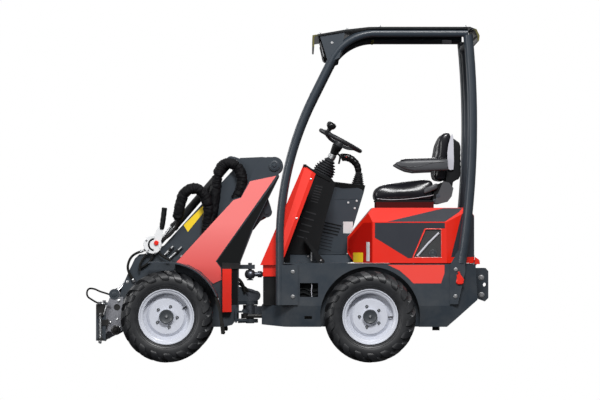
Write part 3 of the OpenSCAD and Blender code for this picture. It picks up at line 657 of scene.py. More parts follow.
def smooth_route(points, steps):
    """Catmull-Rom through given points."""
    route = []
    count = len(points)
    for i in range(count - 1):
        a, b, c, d = (Vector(points[max(i - 1, 0)]), Vector(points[i]), Vector(points[i + 1]),
                      Vector(points[min(i + 2, count - 1)]))
        for k in range(steps):
            t = k / steps
            route.append(0.5 * (2 * b + (c - a) * t + (2 * a - 5 * b + 4 * c - d) * t * t
                                + (3 * b - a - 3 * c + d) * t ** 3))
    route.append(Vector(points[-1]))
    return route


def add_tube(bm, route, radius, sides=16, slot=0):
    """A tube along a route; radius is a number, or a function of the place, 0 to 1, and the angle."""
    loops = []
    count = len(route)
    side = Vector((0, 1, 0))
    for i, point in enumerate(route):
        along = (route[min(i + 1, count - 1)] - route[max(i - 1, 0)]).normalized()
        u = side.cross(along)
        if u.length < 0.05:
            u = Vector((1, 0, 0)).cross(along)
        u.normalize()
        v = along.cross(u)
        loop = []
        for k in range(sides):
            angle = math.tau * k / sides
            r = radius(i / (count - 1), angle) if callable(radius) else radius
            loop.append(bm.verts.new((point + (u * math.cos(angle) + v * math.sin(angle)) * r) * MM))
        loops.append(loop)
    bridge(bm, loops, slot)


def add_loft(bm, y, sections, slot=0, power=3.2):
    """A rounded-box form round one y, through sections of (x, z middle, half width, half height)."""
    loops = []
    for x, z, wide, high in sections:
        loop = []
        for k in range(LOFT_SIDES):
            angle = math.tau * k / LOFT_SIDES
            c, d = math.cos(angle), math.sin(angle)
            reach = (abs(c) ** power + abs(d) ** power) ** (-1 / power)
            loop.append(bm.verts.new(Vector((x, y + c * reach * wide, z + d * reach * high)) * MM))
        loops.append(loop)
    bridge(bm, loops, slot)


# Wheels

LUGS = 18
TYRE_SIDES = 120
NUTS = 5
NUT_CIRCLE_R = 66
VALVE_CIRCLE_R = 138
# Across the tread, where a lug turns down the sidewall
WALL_START = 72
# Along a lug from the middle of the tread to the sidewall: across, how far back it trails (radians),
# radius of its face, radius it stands on, half its width
LUG_LINE = [(-5, 0.0, 283, 258, 13), (14, -0.05, 283, 258, 13.5), (32, -0.1, 282.4, 257, 15),
            (48, -0.155, 280, 253, 17.5), (60, -0.2, 275, 247, 20), (70, -0.24, 266, 240, 22),
            (78, -0.28, 254, 234, 23), (82.5, -0.31, 243, 228, 22.5), (83, -0.335, 233, 222, 20),
            (80.5, -0.35, 226, 218, 15)]


def add_lug(bm, side, start):
    """A curved bar that leads in the middle, trails over the shoulder and fades out on the sidewall."""
    loops = []
    for across, back, top, foot, wide in LUG_LINE:
        loop = []
        on_wall = across > WALL_START
        base = wide * 1.25
        for deep, radius, spread in ((1, foot, base), (0, top, wide), (0, top, -wide), (1, foot, -base)):
            reach = across - (12 if on_wall and deep else 0)
            radius = top if on_wall else radius
            angle = start + back + spread / radius
            spot = Vector((radius * math.cos(angle), radius * math.sin(angle), side * reach))
            loop.append(bm.verts.new(spot * MM))
        loops.append(loop)
    bridge(bm, loops)


def make_tyre_mesh():
    """One field tyre round its own Z axis: carcass, bead rings and two rows of slanted lugs."""
    bm = bmesh.new()
    half = [(152.4, 56), (165, 57.5), (173, 60), (180, 65), (190, 70.5), (205, 74), (222, 74.8), (238, 73),
            (250, 69), (257, 62), (261, 50), (263, 30), (263.6, 10)]
    profile = [(h, r) for r, h in half] + [(-h, r) for r, h in reversed(half)]
    add_rings(bm, (0, 0, 0), (0, 0, 1), profile, TYRE_SIDES, closed=True)
    for ring, height in ((177, 62.6), (184, 67.4), (193, 71.4)):
        for side in (-1, 1):
            bead = [(side * (height - 2), ring - 2.5), (side * (height + 1.0), ring - 1),
                    (side * (height + 1.0), ring + 1), (side * (height - 2), ring + 2.5)]
            add_rings(bm, (0, 0, 0), (0, 0, 1), bead, TYRE_SIDES, closed=True)
    for side in (-1, 1):
        for k in range(LUGS):
            add_lug(bm, side, math.tau * (k + (0.5 if side > 0 else 0)) / LUGS)
    mesh = mesh_from("field_tyre", bm)
    mesh.materials.append(M["tyre"])
    mesh.shade_smooth()
    mesh.set_sharp_from_angle(angle=math.radians(50))
    return mesh


def make_wheels():
    """Four tyres on one mesh, each with its wheel centre."""
    tyre = make_tyre_mesh()
    for end, x in (("front", FRONT_AXLE_X), ("rear", REAR_AXLE_X)):
        for side_name, side in (("left", -1), ("right", 1)):
            body = f"wheel_{end}_{side_name}"
            ob = link_object(f"field_tyre_{end}_{side_name}", tyre)
            ob.location = Vector((x, side * WHEEL_Y, AXLE_Z)) * MM
            ob.rotation_euler = (math.radians(90), 0, 0)
            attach(ob, body)
            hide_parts(f"tyre_{end}_{side_name}")
            make_wheel_centre(end, side_name, x, side, body)


def make_wheel_centre(end, side_name, x, side, body):
    """Five nuts in dark seats, the hub cap with its centre bolt, and the valve."""
    bm = bmesh.new()
    out = (0, side, 0)
    face_y = side * (WHEEL_Y + 18)
    turn = math.radians(68 if end == "front" else 36)
    for k in range(NUTS):
        angle = turn + math.tau * k / NUTS
        spot = (x + NUT_CIRCLE_R * math.cos(angle), face_y, AXLE_Z + NUT_CIRCLE_R * math.sin(angle))
        add_rings(bm, spot, out, [(0, 10), (0.8, 10), (0.8, 8.5), (0.4, 8)], 24, 1)
        add_rings(bm, spot, out, [(0.2, 7), (8, 7), (10, 5.4)], 6, 1)
        add_rings(bm, spot, out, [(10, 4.5), (14, 4.5), (15, 3.5)], 12, 0)
    cap_y = side * (WHEEL_Y + 42)
    add_rings(bm, (x, cap_y, AXLE_Z), out, [(-23, 45), (0.5, 45), (2.5, 43), (3, 38), (1.6, 36), (1.2, 12),
                                            (4, 11), (5, 9)], 48, 1)
    add_rings(bm, (x, cap_y + side * 4, AXLE_Z), out, [(0, 7), (4, 7), (5, 5.5)], 6, 0)
    valve = math.radians(27 if end == "front" else -1)
    base = Vector((x + VALVE_CIRCLE_R * math.cos(valve), side * (WHEEL_Y + 16),
                   AXLE_Z + VALVE_CIRCLE_R * math.sin(valve)))
    tip = base + Vector((-27 * math.cos(valve), side * 9, -27 * math.sin(valve)))
    add_tube(bm, [base, base.lerp(tip, 0.6), tip], lambda t, angle: 5.2 - 1.8 * t, 14, 2)
    finish_piece(f"wheel_nuts_{end}_{side_name}", bm, body, ["zinc", "hub", "rubber"])


make_wheels()


# Stripes and coloured areas

def flat_face(y):
    """A flat side of the machine, y to the left of its middle."""
    return lambda x, z: -y


def hood_chamfer(x, z):
    """The slope between the hood's side and its top."""
    return -HOOD_Y + (z - HOOD_FOLD_Z) * (HOOD_Y - HOOD_TOP_Y) / (HOOD_TOP_Z - HOOD_FOLD_Z)


def hood_tail(x, z):
    """The hood's side where it tapers to the tail."""
    return -HOOD_Y + (x - HOOD_TAIL_X) * (HOOD_Y - HOOD_TOP_Y) / (HOOD_END_X - HOOD_TAIL_X)


def hood_nose(x, z):
    """The hood's side where it tapers to the nose."""
    return -HOOD_NOSE_Y - (x - HOOD_NOSE_X) * (HOOD_Y - HOOD_NOSE_Y) / HOOD_NOSE_LENGTH


def add_decal(name, look, body, outlines, surface):
    """Thin coloured areas that follow one face, on both sides of the machine."""
    bm = bmesh.new()
    for outline in outlines:
        add_plate(bm, outline, -0.5, 0.4, 0, surface)
    mirror_all(bm)
    finish_piece(name, bm, body, [look])


add_decal("hood_slate_area", "shade", "hood", [[(539, 862), (972, 862), (972, 827), (846, 827), (768, 643),
                                                (744, 643), (539, 770)]], flat_face(HOOD_Y))
add_decal("hood_chamfer_stripe", "shade", "hood",
          [[(614, 868.5), (966, 952.5), (1082, 952.5), (1060, 928), (972, 868.5)]], hood_chamfer)
add_decal("hood_tail_wedge", "shade", "hood",
          [[(1010, 650), (1078, 918), (1152, 912), (1156, 892), (1156, 650)]], hood_tail)
# Painted shade: a darker red on the hood's nose facets, which face away from the light
add_decal("hood_nose_side", "nose_red", "hood",
          [[(378, 690), (378, 756), (468, 862), (520, 864), (520, 615), (414, 615), (406, 632)]], hood_nose)
add_decal("skirt_red_area", "warm_red", "rear_frame", [[(617, 602), (967, 602), (967, 552), (946, 488),
                                                        (775, 488), (745, 520), (690, 568)]],
          flat_face(SKIRT_Y))

# The tower's real red panel, made lighter towards its top by a painted sky reflection
add_decal("tower_red_panel", "painted_sky_red", "front_frame",
          [[(-236, 1122), (-72, 1157), (-450, 623), (-419, 580), (-413, 508), (-466, 483), (-545, 560),
            (-620, 600), (-700, 612), (-523, 805), (-340, 1004), (-292, 1020)]], flat_face(TOWER_Y))
# Painted shade: a black strip where the tower's side plate turns inward behind its fold line
add_decal("tower_painted_shade_strip", "black_and_painted_shade", "front_frame",
          [[(-58, 1150), (-222, 832), (-301, 616), (-312, 572), (-312, 350), (-405, 350), (-409, 506),
            (-414, 582), (-444, 622)]], flat_face(TOWER_Y - 5))
# Painted light: a brighter red on the cowl's side
add_decal("cowl_sunlit_side", "cowl_red", "rear_frame", [[(105, 1207), (150, 1174), (-22, 700), (-37, 655),
                                                          (-55, 612), (-75, 612), (-30, 790)]],
          flat_face(COWL_Y))


# The hood's side openings

def make_hood_screens():
    """Black screens in a thin red frame, with a pale brace and a round cap before them."""
    bm = bmesh.new()
    window = [(849, 827), (954, 827), (954, 643), (770, 643)]
    add_plate(bm, window, -HOOD_Y + 8, -HOOD_Y + 10, 0)
    add_tube(bm, [Vector((800, -HOOD_Y + 5, 655)), Vector((868, -HOOD_Y + 5, 733)),
                  Vector((936, -HOOD_Y + 5, 800))], 7, 12, 1)
    add_rings(bm, (898, -HOOD_Y + 4, 672), (0, -1, 0), [(-3, 24), (0, 24), (2, 20), (0, 17), (2, 14),
                                                        (0, 11), (3, 7)], 28, 3)
    frame_outline = [(853, 823), (950, 823), (950, 647), (776, 647)]
    for k in range(4):
        a = frame_outline[k]
        b = frame_outline[(k + 1) % 4]
        add_tube(bm, [Vector((a[0], -HOOD_Y - 0.5, a[1])), Vector((b[0], -HOOD_Y - 0.5, b[1]))], 2.2, 8, 2)
    mirror_all(bm)
    finish_piece("hood_screens", bm, "hood", ["screen", "plate_grey", "warm_red", "hub"])


make_hood_screens()


# Hoses in their sleeves

HOSE_Y = -105.8
UPPER_LOOP = [(-330, HOSE_Y, 1000), (-300, HOSE_Y, 1060), (-285, HOSE_Y, 1130), (-310, HOSE_Y, 1203),
              (-362, HOSE_Y, 1236), (-412, HOSE_Y, 1215), (-440, HOSE_Y, 1150), (-453, HOSE_Y, 1068),
              (-468, HOSE_Y, 940), (-500, HOSE_Y, 830)]
LOWER_LOOP = [(-508, HOSE_Y, 790), (-502, -112, 870), (-497, -130, 960), (-530, -138, 1048),
              (-583, -138, 1077), (-642, -135, 1052), (-672, -128, 981), (-690, -118, 880)]
LOWER_TAIL = [(-690, -118, 892), (-700, -114, 840), (-735, -112, 792), (-790, -112, 752)]
NOSE_HOSE = [(-905, -91.7, 690), (-968, -91.7, 660), (-998, -91.7, 612), (-998, -90, 560), (-962, -80, 493)]
FRONT_HOSE = [(-1072, -205.7, 382), (-1085, -205, 405), (-1125, -200, 421), (-1167, -196, 434),
              (-1205, -192, 450), (-1237, -190, 452), (-1251, -190, 432), (-1246, -190, 403),
              (-1215, -190, 380), (-1180, -190, 362), (-1145, -190, 358.2)]


# Route, radius and the places along it, 0 to 1, where ties pinch it
SLEEVES = [(UPPER_LOOP, 33.5, (0.36, 0.66)), (LOWER_LOOP, 33.0, (0.3, 0.985))]


def make_sleeves():
    """Sleeved hose bundles: gathered cloth with folds, tied at the ends."""
    bm = bmesh.new()
    for seed, (points, radius, ties) in enumerate(SLEEVES):
        route = smooth_route(points, 24)

        def fold(t, angle, r=radius, s=seed, ties=ties):
            """Radius of the gathered cloth at a place and angle."""
            place = Vector((t * 30, math.cos(angle) * 1.3, math.sin(angle) * 1.3 + s * 9))
            ripple = noise.noise(place) * 5.0 + noise.noise(place * 2.6) * 2.6
            crease = -abs(noise.noise(Vector((t * 55 + math.sin(angle + t * 9) * 0.8, s * 5.0, 1.0)))) * 8.0
            tie = 0.8 if any(abs(t - mark) < 0.008 for mark in ties) else 1.0
            end = min(1.0, 0.72 + 9 * min(t, 1 - t))
            return (r + 1.5 + ripple + crease) * tie * end

        add_tube(bm, route, fold, 40)
    for shift, r in ((-9, 8), (9, 8)):
        route = [v + Vector((0, shift, shift * 0.5)) for v in smooth_route(LOWER_TAIL, 8)]
        add_tube(bm, route, r, 14, 1)
    ob = finish_piece("hose_sleeves", bm, "front_frame", ["sleeve", "rubber"], 70)
    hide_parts("hose_loops")


def make_small_hoses():
    """The hoses at the nose and at the coupler, with crimped ends."""
    for name, points, r, body, node in (("nose_hose_run", NOSE_HOSE, 8, "boom", "nose_hoses"),
                                        ("coupler_hose_run", FRONT_HOSE, 5.6, "coupler", "coupler_hose")):
        bm = bmesh.new()
        route = smooth_route(points, 10)
        add_tube(bm, route, r, 16, 0)
        for a, b in ((route[0], route[3]), (route[-1], route[-4])):
            along = (b - a).normalized()
            add_rings(bm, a + along * 1, along, [(0, r + 0.5), (2, r + 2), (18, r + 2), (21, r + 0.6)], 18, 1)
            add_rings(bm, a + along * 0.5, along, [(0, r + 3.2), (8, r + 3.2)], 6, 1)
        ob = finish_piece(name, bm, body, ["rubber", "zinc"], 60)
        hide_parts(node)


make_sleeves()
make_small_hoses()


# The seat

SEAT_HALF_WIDTH = 218
BACK_RAKE = 0.09
# Half width of the pleated panel, and half width of a sewn channel
PANEL_Y = 150
CHANNEL_WIDTH = 7


def apply_modifiers(ob):
    """Makes the shape that the modifiers show the object's own."""
    made = bpy.data.meshes.new_from_object(ob.evaluated_get(bpy.context.evaluated_depsgraph_get()))
    ob.modifiers.clear()
    ob.data = made


def calm(ob, factor, iterations):
    """Evens out the surface."""
    smooth = ob.modifiers.new("calm", "SMOOTH")
    smooth.factor = factor
    smooth.iterations = iterations
    apply_modifiers(ob)


def blow_up(ob, is_pinned, cap):
    """Swells a cover by the cloth solver; no point moves further than the cap, in metres."""
    start = [v.co.copy() for v in ob.data.vertices]
    pins = ob.vertex_groups.new(name="held")
    pins.add([v.index for v in ob.data.vertices if is_pinned(v.co)], 1.0, "REPLACE")
    settings = ob.modifiers.new("cover", "CLOTH").settings
    settings.quality = 5
    settings.use_pressure = True
    settings.uniform_pressure_force = 4.0
    settings.effector_weights.gravity = 0
    settings.vertex_group_mass = "held"
    settings.tension_stiffness = 60
    settings.compression_stiffness = 60
    settings.shear_stiffness = 30
    settings.bending_stiffness = 8
    scene = bpy.context.scene
    for step in range(1, 17):
        scene.frame_set(step)
    evaluated = ob.evaluated_get(bpy.context.evaluated_depsgraph_get())
    swollen = [v.co.copy() for v in evaluated.data.vertices]
    ob.modifiers.clear()
    scene.frame_set(1)
    for v, a, b in zip(ob.data.vertices, start, swollen):
        move = b - a
        if move.length > cap:
            move *= cap / move.length
        v.co = a + move


def soft_form(name, outline, is_pinned, cap):
    """A vinyl cover blown up over its padding, from an outline in X and Z."""
    bm = bmesh.new()
    add_plate(bm, outline, -SEAT_HALF_WIDTH, SEAT_HALF_WIDTH)
    ob = link_object(name, mesh_from(name, bm))
    bevel = ob.modifiers.new("round", "BEVEL")
    bevel.width = 0.024
    bevel.segments = 5
    grid = ob.modifiers.new("grid", "REMESH")
    grid.mode = "VOXEL"
    grid.voxel_size = 0.0065
    apply_modifiers(ob)
    blow_up(ob, is_pinned, cap)
    calm(ob, 0.7, 30)
    return ob


def finish_soft(ob, node):
    """Vinyl over padding, in place of the frame's plain solid."""
    calm(ob, 0.5, 2)
    ob.data.materials.clear()
    ob.data.materials.append(M["vinyl"])
    ob.data.shade_smooth()
    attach(ob, "hood")
    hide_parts(node)


def unit(value):
    """Keeps a value between 0 and 1."""
    return max(0.0, min(1.0, value))


def panel(y):
    """1 on the pleated panel and 0 beside it, for a place across the seat in metres."""
    return unit((PANEL_Y - abs(y * 1000)) / 20)


def channel(offset):
    """Depth of a sewn channel, 1 to 0, at a distance from its middle in millimetres."""
    return math.exp(-(offset / CHANNEL_WIDTH) ** 2)


def make_cushion():
    """The cushion: a shallow panel with five pleats between two seams."""
    outline = [(540, 1001), (534, 1046), (543, 1078), (580, 1092), (688, 1106), (826, 1122), (892, 1129),
               (908, 1120), (903, 1001)]
    ob = soft_form("seat_cushion_cover", outline, lambda co: co.z < 1.012, 0.011)
    for v in ob.data.vertices:
        top = unit((v.co.z * 1000 - 1052) / 30)
        inside = panel(v.co.y)
        v.co.z -= 0.006 * top * inside
        for pleat in (602, 662, 722, 782, 842):
            v.co.z -= 0.005 * top * inside * channel(v.co.x * 1000 - pleat)
        for seam in (-PANEL_Y, PANEL_Y):
            v.co.z -= 0.007 * top * channel(v.co.y * 1000 - seam)
    finish_soft(ob, "seat_cushion")


def make_backrest():
    """The backrest: a shallow panel with four pleats between two seams, raked to the rear."""
    outline = [(908, 1127), (914, 1253), (939, 1392), (958, 1418), (984, 1430), (1012, 1427), (1018, 1385),
               (992, 1250), (988, 1127)]
    ob = soft_form("seat_back_cover", outline, lambda co: co.x > 0.977 + (co.z - 1.13) * BACK_RAKE, 0.01)
    for v in ob.data.vertices:
        z = v.co.z * 1000
        front = unit(((941 + (z - 1130) * BACK_RAKE) - v.co.x * 1000) / 12 + 0.5)
        inside = panel(v.co.y)
        v.co.x += 0.006 * front * inside
        for pleat in (1180, 1235, 1290, 1345):
            v.co.x += 0.005 * front * inside * channel(z - pleat)
        for seam in (-PANEL_Y, PANEL_Y):
            v.co.x += 0.006 * front * channel(v.co.y * 1000 - seam)
    finish_soft(ob, "seat_back")


make_cushion()
make_backrest()


def make_armrests():
    """Moulded armrests, pointed at the front, with a raised pad on top."""
    bm = bmesh.new()
    add_loft(bm, -264, [(668, 1229, 8, 4), (678, 1229, 17, 10), (700, 1226, 24, 20), (740, 1220, 27, 32),
                        (790, 1217, 27.5, 38), (870, 1220, 27.5, 37), (930, 1222, 27, 36.5),
                        (984, 1223, 26, 36), (993, 1223, 22, 32)], 0, 4.0)
    add_loft(bm, -264, [(700, 1249, 16, 4), (730, 1254, 21, 7), (900, 1259, 22, 8), (962, 1260, 21, 8),
                        (982, 1259, 16, 5)], 1, 2.6)
    add_rings(bm, (966, -241, 1228), (0, 1, 0), [(0, 19), (13, 19), (22, 14)], 24, 2)
    add_tube(bm, smooth_route([(692, -280, 1214), (730, -291, 1210), (800, -291.6, 1210), (850, -291.4, 1219),
                               (905, -291, 1235), (972, -290.5, 1238)], 8), 2.0, 8, 1)
    mirror_all(bm)
    ob = finish_piece("armrest_pads", bm, "hood", ["armrest", "vinyl", "black_steel"], 40)
    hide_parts("armrests")


make_armrests()


def make_seat_frame():
    """The seat's moulded back and hinge, with its silver side plates."""
    bm = bmesh.new()
    add_plate(bm, [(1017, 1392), (1000, 1330), (993, 1250), (989, 1120), (912, 1098), (900, 1004),
                   (948, 990), (985, 996), (1008, 1022), (1024, 1068), (1024, 1118), (1064, 1134),
                   (1074, 1156), (1076, 1338), (1068, 1362), (1038, 1384)], -212, 212, 0)
    rim_edges = [e for e in bm.edges if abs(e.verts[0].co.y - e.verts[1].co.y) < 1e-5]
    bmesh.ops.bevel(bm, geom=rim_edges, offset=0.005, segments=3, profile=0.5, affect="EDGES")
    add_box(bm, (880, -200, 994), (915, 200, 1003), 0)
    for k in range(5):
        add_box(bm, (1073, -160, 1170 + 36 * k), (1079, 160, 1182 + 36 * k), 0)
    for side in (-1, 1):
        near = sorted((side * 214, side * 229))
        add_plate(bm, [(968, 1121), (1004, 1113), (1031, 1078), (1020, 1027), (994, 993), (947, 981),
                       (912, 984), (921, 1012), (938, 1052)], near[0], near[1], 1)
        near = sorted((side * 228.6, side * 231.4))
        add_plate(bm, [(1022, 1417), (1011, 1390), (999, 1348), (993, 1297), (994, 1230), (1000, 1196),
                       (1010, 1191), (1030, 1194), (1034, 1240), (1032, 1330), (1030, 1398)], near[0],
                  near[1], 2)
        near = sorted((side * 210, side * 228.5))
        add_plate(bm, [(948, 1208), (1012, 1206), (1022, 1240), (1024, 1380), (1008, 1330), (1000, 1252),
                       (948, 1250)], near[0], near[1], 0)
    add_loft(bm, -231, [(848, 1059, 6, 11), (856, 1062, 12, 18), (922, 1089, 12, 18), (931, 1093, 7, 12)],
             1, 3.0)
    add_rings(bm, (888, -232, 1075), (0, 1, 0), [(0, 10), (15, 10)], 20, 0)
    for x, z, r in ((936, 1030, 13), (913, 1002, 9)):
        add_rings(bm, (x, -214, z), (0, -1, 0), [(0, r), (17, r), (17, r - 4), (20, r - 6)], 24, 3)
    add_box(bm, (1034, -214, 1236), (1048, -205, 1330), 0)
    ob = finish_piece("seat_frame", bm, "hood", ["plastic", "armrest", "plate_grey", "dark_cast"], 40)
    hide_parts("seat_shell")


def make_seat_piping():
    """Piping along the cushion's foot, and the black base under it."""
    bm = bmesh.new()
    add_tube(bm, smooth_route([(556, -226, 1012), (640, -229, 1006), (760, -229, 1012), (885, -229, 1030),
                               (905, -226, 1038)], 8), 2.4, 10, 0)
    mirror_all(bm)
    add_plate(bm, [(548, 993), (543, 1002), (600, 1004), (908, 1004), (908, 993)], -226, 226, 1)
    finish_piece("seat_piping", bm, "hood", ["piping", "plastic"], 40)


make_seat_frame()
make_seat_piping()


# The multi-coupler on the arm

def make_multi_coupler():
    """White housing with a curved slot, red button, and a black-gripped lever, with its plugs."""
    bm = bmesh.new()
    centre = Vector((-846, -108, 727))
    add_rings(bm, centre, (0, -1, 0), [(-38, 40), (-6, 40), (-6, 58), (9, 58), (12, 55)], 48, 0)
    add_plate(bm, [(-838, 781), (-806, 842), (-776, 842), (-782, 800), (-792, 740), (-800, 700)], -124,
              -112, 0)
    arc = [centre + Vector((12 + 36 * math.cos(t), -12.4, 36 * math.sin(t)))
           for t in (math.radians(95 + 14 * k) for k in range(13))]
    add_tube(bm, arc, 5.5, 12, 1)
    add_rings(bm, (-822, -124, 737), (0, -1, 0), [(0, 15), (6, 15), (9, 11)], 28, 2)
    grip = smooth_route([(-789, -118, 822), (-785, -118, 850), (-778, -118, 900), (-771, -118, 958)], 6)

    def grip_radius(t, angle):
        """Swells from the neck, finely ribbed, with a rounded tip."""
        return 13 + 4 * min(1, t * 3) - (3 if t > 0.97 else 0) + 0.7 * math.cos(t * 80)

    add_tube(bm, grip, grip_radius, 20, 1)
    for k in range(4):
        add_rings(bm, (-880 + 22 * k, -96, 676 + 6 * (k % 2)), (0.35, 0, 1),
                  [(-10, 9), (14, 9), (14, 11), (30, 11)], 6, 3)
    for x, z in ((-884, 752), (-872, 690), (-830, 674)):
        add_bolt(bm, (x, -120, z), (0, -1, 0), 6, 3)
    ob = finish_piece("multi_coupler", bm, "boom", ["white", "plastic", "red", "zinc"])
    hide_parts("hydraulic_coupler")


def make_block_hoses():
    """The hoses under the multi-coupler and two plated unions behind it."""
    bm = bmesh.new()
    for y, points in ((-96, [(-882, 668), (-905, 640), (-925, 600), (-925, 560)]),
                      (-88, [(-838, 676), (-850, 640), (-880, 606), (-930, 575)]),
                      (-104, [(-815, 690), (-792, 660), (-760, 640), (-735, 628)])):
        add_tube(bm, smooth_route([(x, y, z) for x, z in points], 8), 7.5, 14, 0)
    for a, b in (((-778, -98, 776), (-728, -98, 842)), ((-752, -92, 776), (-706, -92, 838))):
        a, b = Vector(a), Vector(b)
        add_rings(bm, a, b - a, [(0, 8), (30, 8), (30, 10.5), (52, 10.5), (52, 8), (80, 8)], 20, 1)
    add_tube(bm, smooth_route([(-900, -92, 689), (-886, -94, 697), (-868, -98, 704)], 6), 8.6, 14, 0)
    finish_piece("coupler_block_hoses", bm, "boom", ["rubber", "zinc"])


make_multi_coupler()
make_block_hoses()


# The tool coupler

# Where the mast's plates start, and the y between which its side brackets stand, in metres
MAST_X = -1.128
MAST_BACK_X = -1.1305
BRACKET_Y = (0.203, 0.234)
SPRING_TURNS = 14


def paint_coupler():
    """The coupler's mast is slate and its brackets stay bare castings."""
    mesh = nodes["quick_coupler"].data
    mesh.materials.append(M["slate"])
    for polygon in mesh.polygons:
        x, y = polygon.center.x, abs(polygon.center.y)
        beside_bracket = y < BRACKET_Y[0] or y > BRACKET_Y[1]
        polygon.material_index = 1 if x < MAST_BACK_X or (beside_bracket and x < MAST_X) else 0


def make_coupler_trim():
    """Lock pin guides with their springs, release levers, pin collars and bolts."""
    bm = bmesh.new()
    spring = []
    steps = 12 * SPRING_TURNS
    for k in range(steps + 1):
        turn = math.tau * k / 12
        spring.append(Vector((-1163 + 9 * math.cos(turn), -270 + 9 * math.sin(turn), 150 + 128 * k / steps)))
    add_tube(bm, spring, 2.4, 6, 0)
    add_rings(bm, (-1163, -270, 112), (0, 0, 1), [(0, 5), (6, 8), (14, 8), (190, 8)], 18, 0)
    for z in (136, 284):
        add_box(bm, (-1180, -284, z), (-1146, -259.5, z + 10), 1)
    add_plate(bm, [(-1190, 300), (-1190, 352), (-1176, 362), (-1132, 356), (-1126, 320), (-1150, 296)],
              -268, -260.2, 1)
    add_tube(bm, smooth_route([(-1142, -274, 290), (-1134, -276, 318), (-1124, -274, 352)], 6), 4.5, 12, 0)
    add_box(bm, (-1152, -270, 228), (-1112, -259.5, 262), 1)
    add_rings(bm, (-1070, -232, 196), (0, -1, 0), [(0, 30), (4, 30), (6, 27), (6, 17), (2, 15)], 32, 1)
    add_rings(bm, (-1070, -233, 196), (0, -1, 0), [(0, 14), (9, 14), (11, 11)], 24, 2)
    for x, z, size in ((-1119, 226, 8), (-1104, 242, 8), (-1050, 378, 11), (-1060, 262, 7), (-1044, 214, 7)):
        add_bolt(bm, (x, -232, z), (0, -1, 0), size, 0)
    add_rings(bm, (-1079, -231.6, 418), (0, -1, 0), [(0, 33), (2, 33), (2, 17), (5, 16), (6, 11)], 36, 3)
    add_rings(bm, (-1062, -232, 338), (0, -1, 0), [(0, 20), (3, 20), (3, 14), (1, 13)], 28, 1)
    mirror_all(bm)
    finish_piece("coupler_trim", bm, "coupler", ["zinc", "black_steel", "rubber", "slate"], 40)


paint_coupler()
make_coupler_trim()


# Operator's place

def make_column_shroud():
    """Silver sleeve, black shroud and folded boot round the steering column."""
    bm = bmesh.new()
    axis = (math.sin(COLUMN_TILT), 0, math.cos(COLUMN_TILT))
    foot = Vector((217, 0, 1167))
    up = Vector(axis)
    add_rings(bm, foot + up * 111, axis, [(0, 23), (2, 25), (30, 25), (32, 23)], 32, 0)
    add_rings(bm, foot + up * 143, axis, [(0, 21), (8, 24), (40, 30), (58, 33), (64, 30)], 32, 1)
    folds = []
    for k, wide in enumerate((66, 68, 68, 64, 57, 47, 36)):
        folds += [(-8 + 16 * k, wide - 8), (-2 + 16 * k, wide), (3 + 16 * k, wide)]
    add_rings(bm, foot, axis, folds + [(108, 25)], 40, 2)
    add_tube(bm, smooth_route([foot + up * 160 + Vector((14, -20, -6)),
                               foot + up * 150 + Vector((40, -34, -20)),
                               foot + up * 120 + Vector((46, -36, -40))], 6), 6, 12, 1)
    finish_piece("column_shroud", bm, "rear_frame", ["zinc", "plastic", "grey_rubber"])


def make_cowl_cap():
    """The cowl's black cap and its bolts, and the strips and plain louvres on the column's side."""
    bm = bmesh.new()
    add_box(bm, (96, -COWL_Y - 4, 1206), (116, COWL_Y + 4, 1224), 0)
    add_plate(bm, [(112, 1214), (168, 1170), (262, 1122), (268, 1131), (176, 1184), (118, 1224)], -112,
              -105.4, 0)
    add_plate(bm, [(150, 622), (176, 622), (238, 899), (300, 1112), (280, 1130), (214, 899)], -104, -98, 0)
    for x, z in ((143, 1132), (54, 888)):
        add_rings(bm, (x, -330.4, z), (0, -1, 0), [(0, 6), (1.6, 6), (2.4, 4)], 16, 1)
    # count, first x and z, step in x and z, length, drop and thickness of each row of louvres
    for count, x0, z0, step_x, step_z, wide, drop, thick in ((7, 172, 1094, 5, 16, 46, 12, 6),
                                                             (5, 112, 930, 14, 38, 64, 18, 8)):
        for k in range(count):
            x, z = x0 - step_x * k, z0 - step_z * k
            add_plate(bm, [(x, z), (x + wide, z - drop), (x + wide, z - drop + thick), (x, z + thick)],
                      -106.6, -104.5, 2)
    finish_piece("cowl_cap", bm, "rear_frame", ["plastic", "zinc", "grey_rubber"])


def make_lever():
    """Drive lever: folded rubber boot, a curved neck and a moulded grip with its thumb switch."""
    bm = bmesh.new()
    axis = (math.sin(math.radians(6.84)), 0, math.cos(math.radians(6.84)))
    rings = [(-13.5, 40), (-10, 40)]
    for k in range(6):
        rings += [(-9 + 12 * k, 33 - 2.4 * k), (-5 + 12 * k, 39 - 3.0 * k), (-1 + 12 * k, 39 - 3.0 * k)]
    rings.append((68, 14))
    add_rings(bm, (444.7, 262, 1122.1), axis, rings, 32, 0)
    neck = smooth_route([(449, 262, 1170), (446, 262, 1205), (436, 262, 1236), (414, 262, 1262),
                         (385, 262, 1279), (352, 262, 1283), (336, 262, 1277)], 8)

    def neck_radius(t, angle):
        """Slightly oval; ribbed up to the grip, which is smooth and ends rounded."""
        ribs = 0.9 * math.sin(t * 50) * (t < 0.7)
        tip = 8 if t > 0.985 else 0
        return (17 + 5 * min(1, t * 1.6) + ribs - tip) * (1 + 0.12 * math.cos(2 * angle))

    add_tube(bm, neck, neck_radius, 24, 1)
    add_rings(bm, (350, 246, 1287), (-0.2, -1, 0.2), [(0, 9), (7, 9), (9, 6)], 20, 2)
    add_rings(bm, (372, 246, 1283), (0, -1, 0.1), [(0, 5), (6, 5), (7, 3)], 16, 3)
    ob = finish_piece("drive_lever", bm, "rear_frame", ["grey_rubber", "gloss", "plastic", "red"])
    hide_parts("drive_controls")


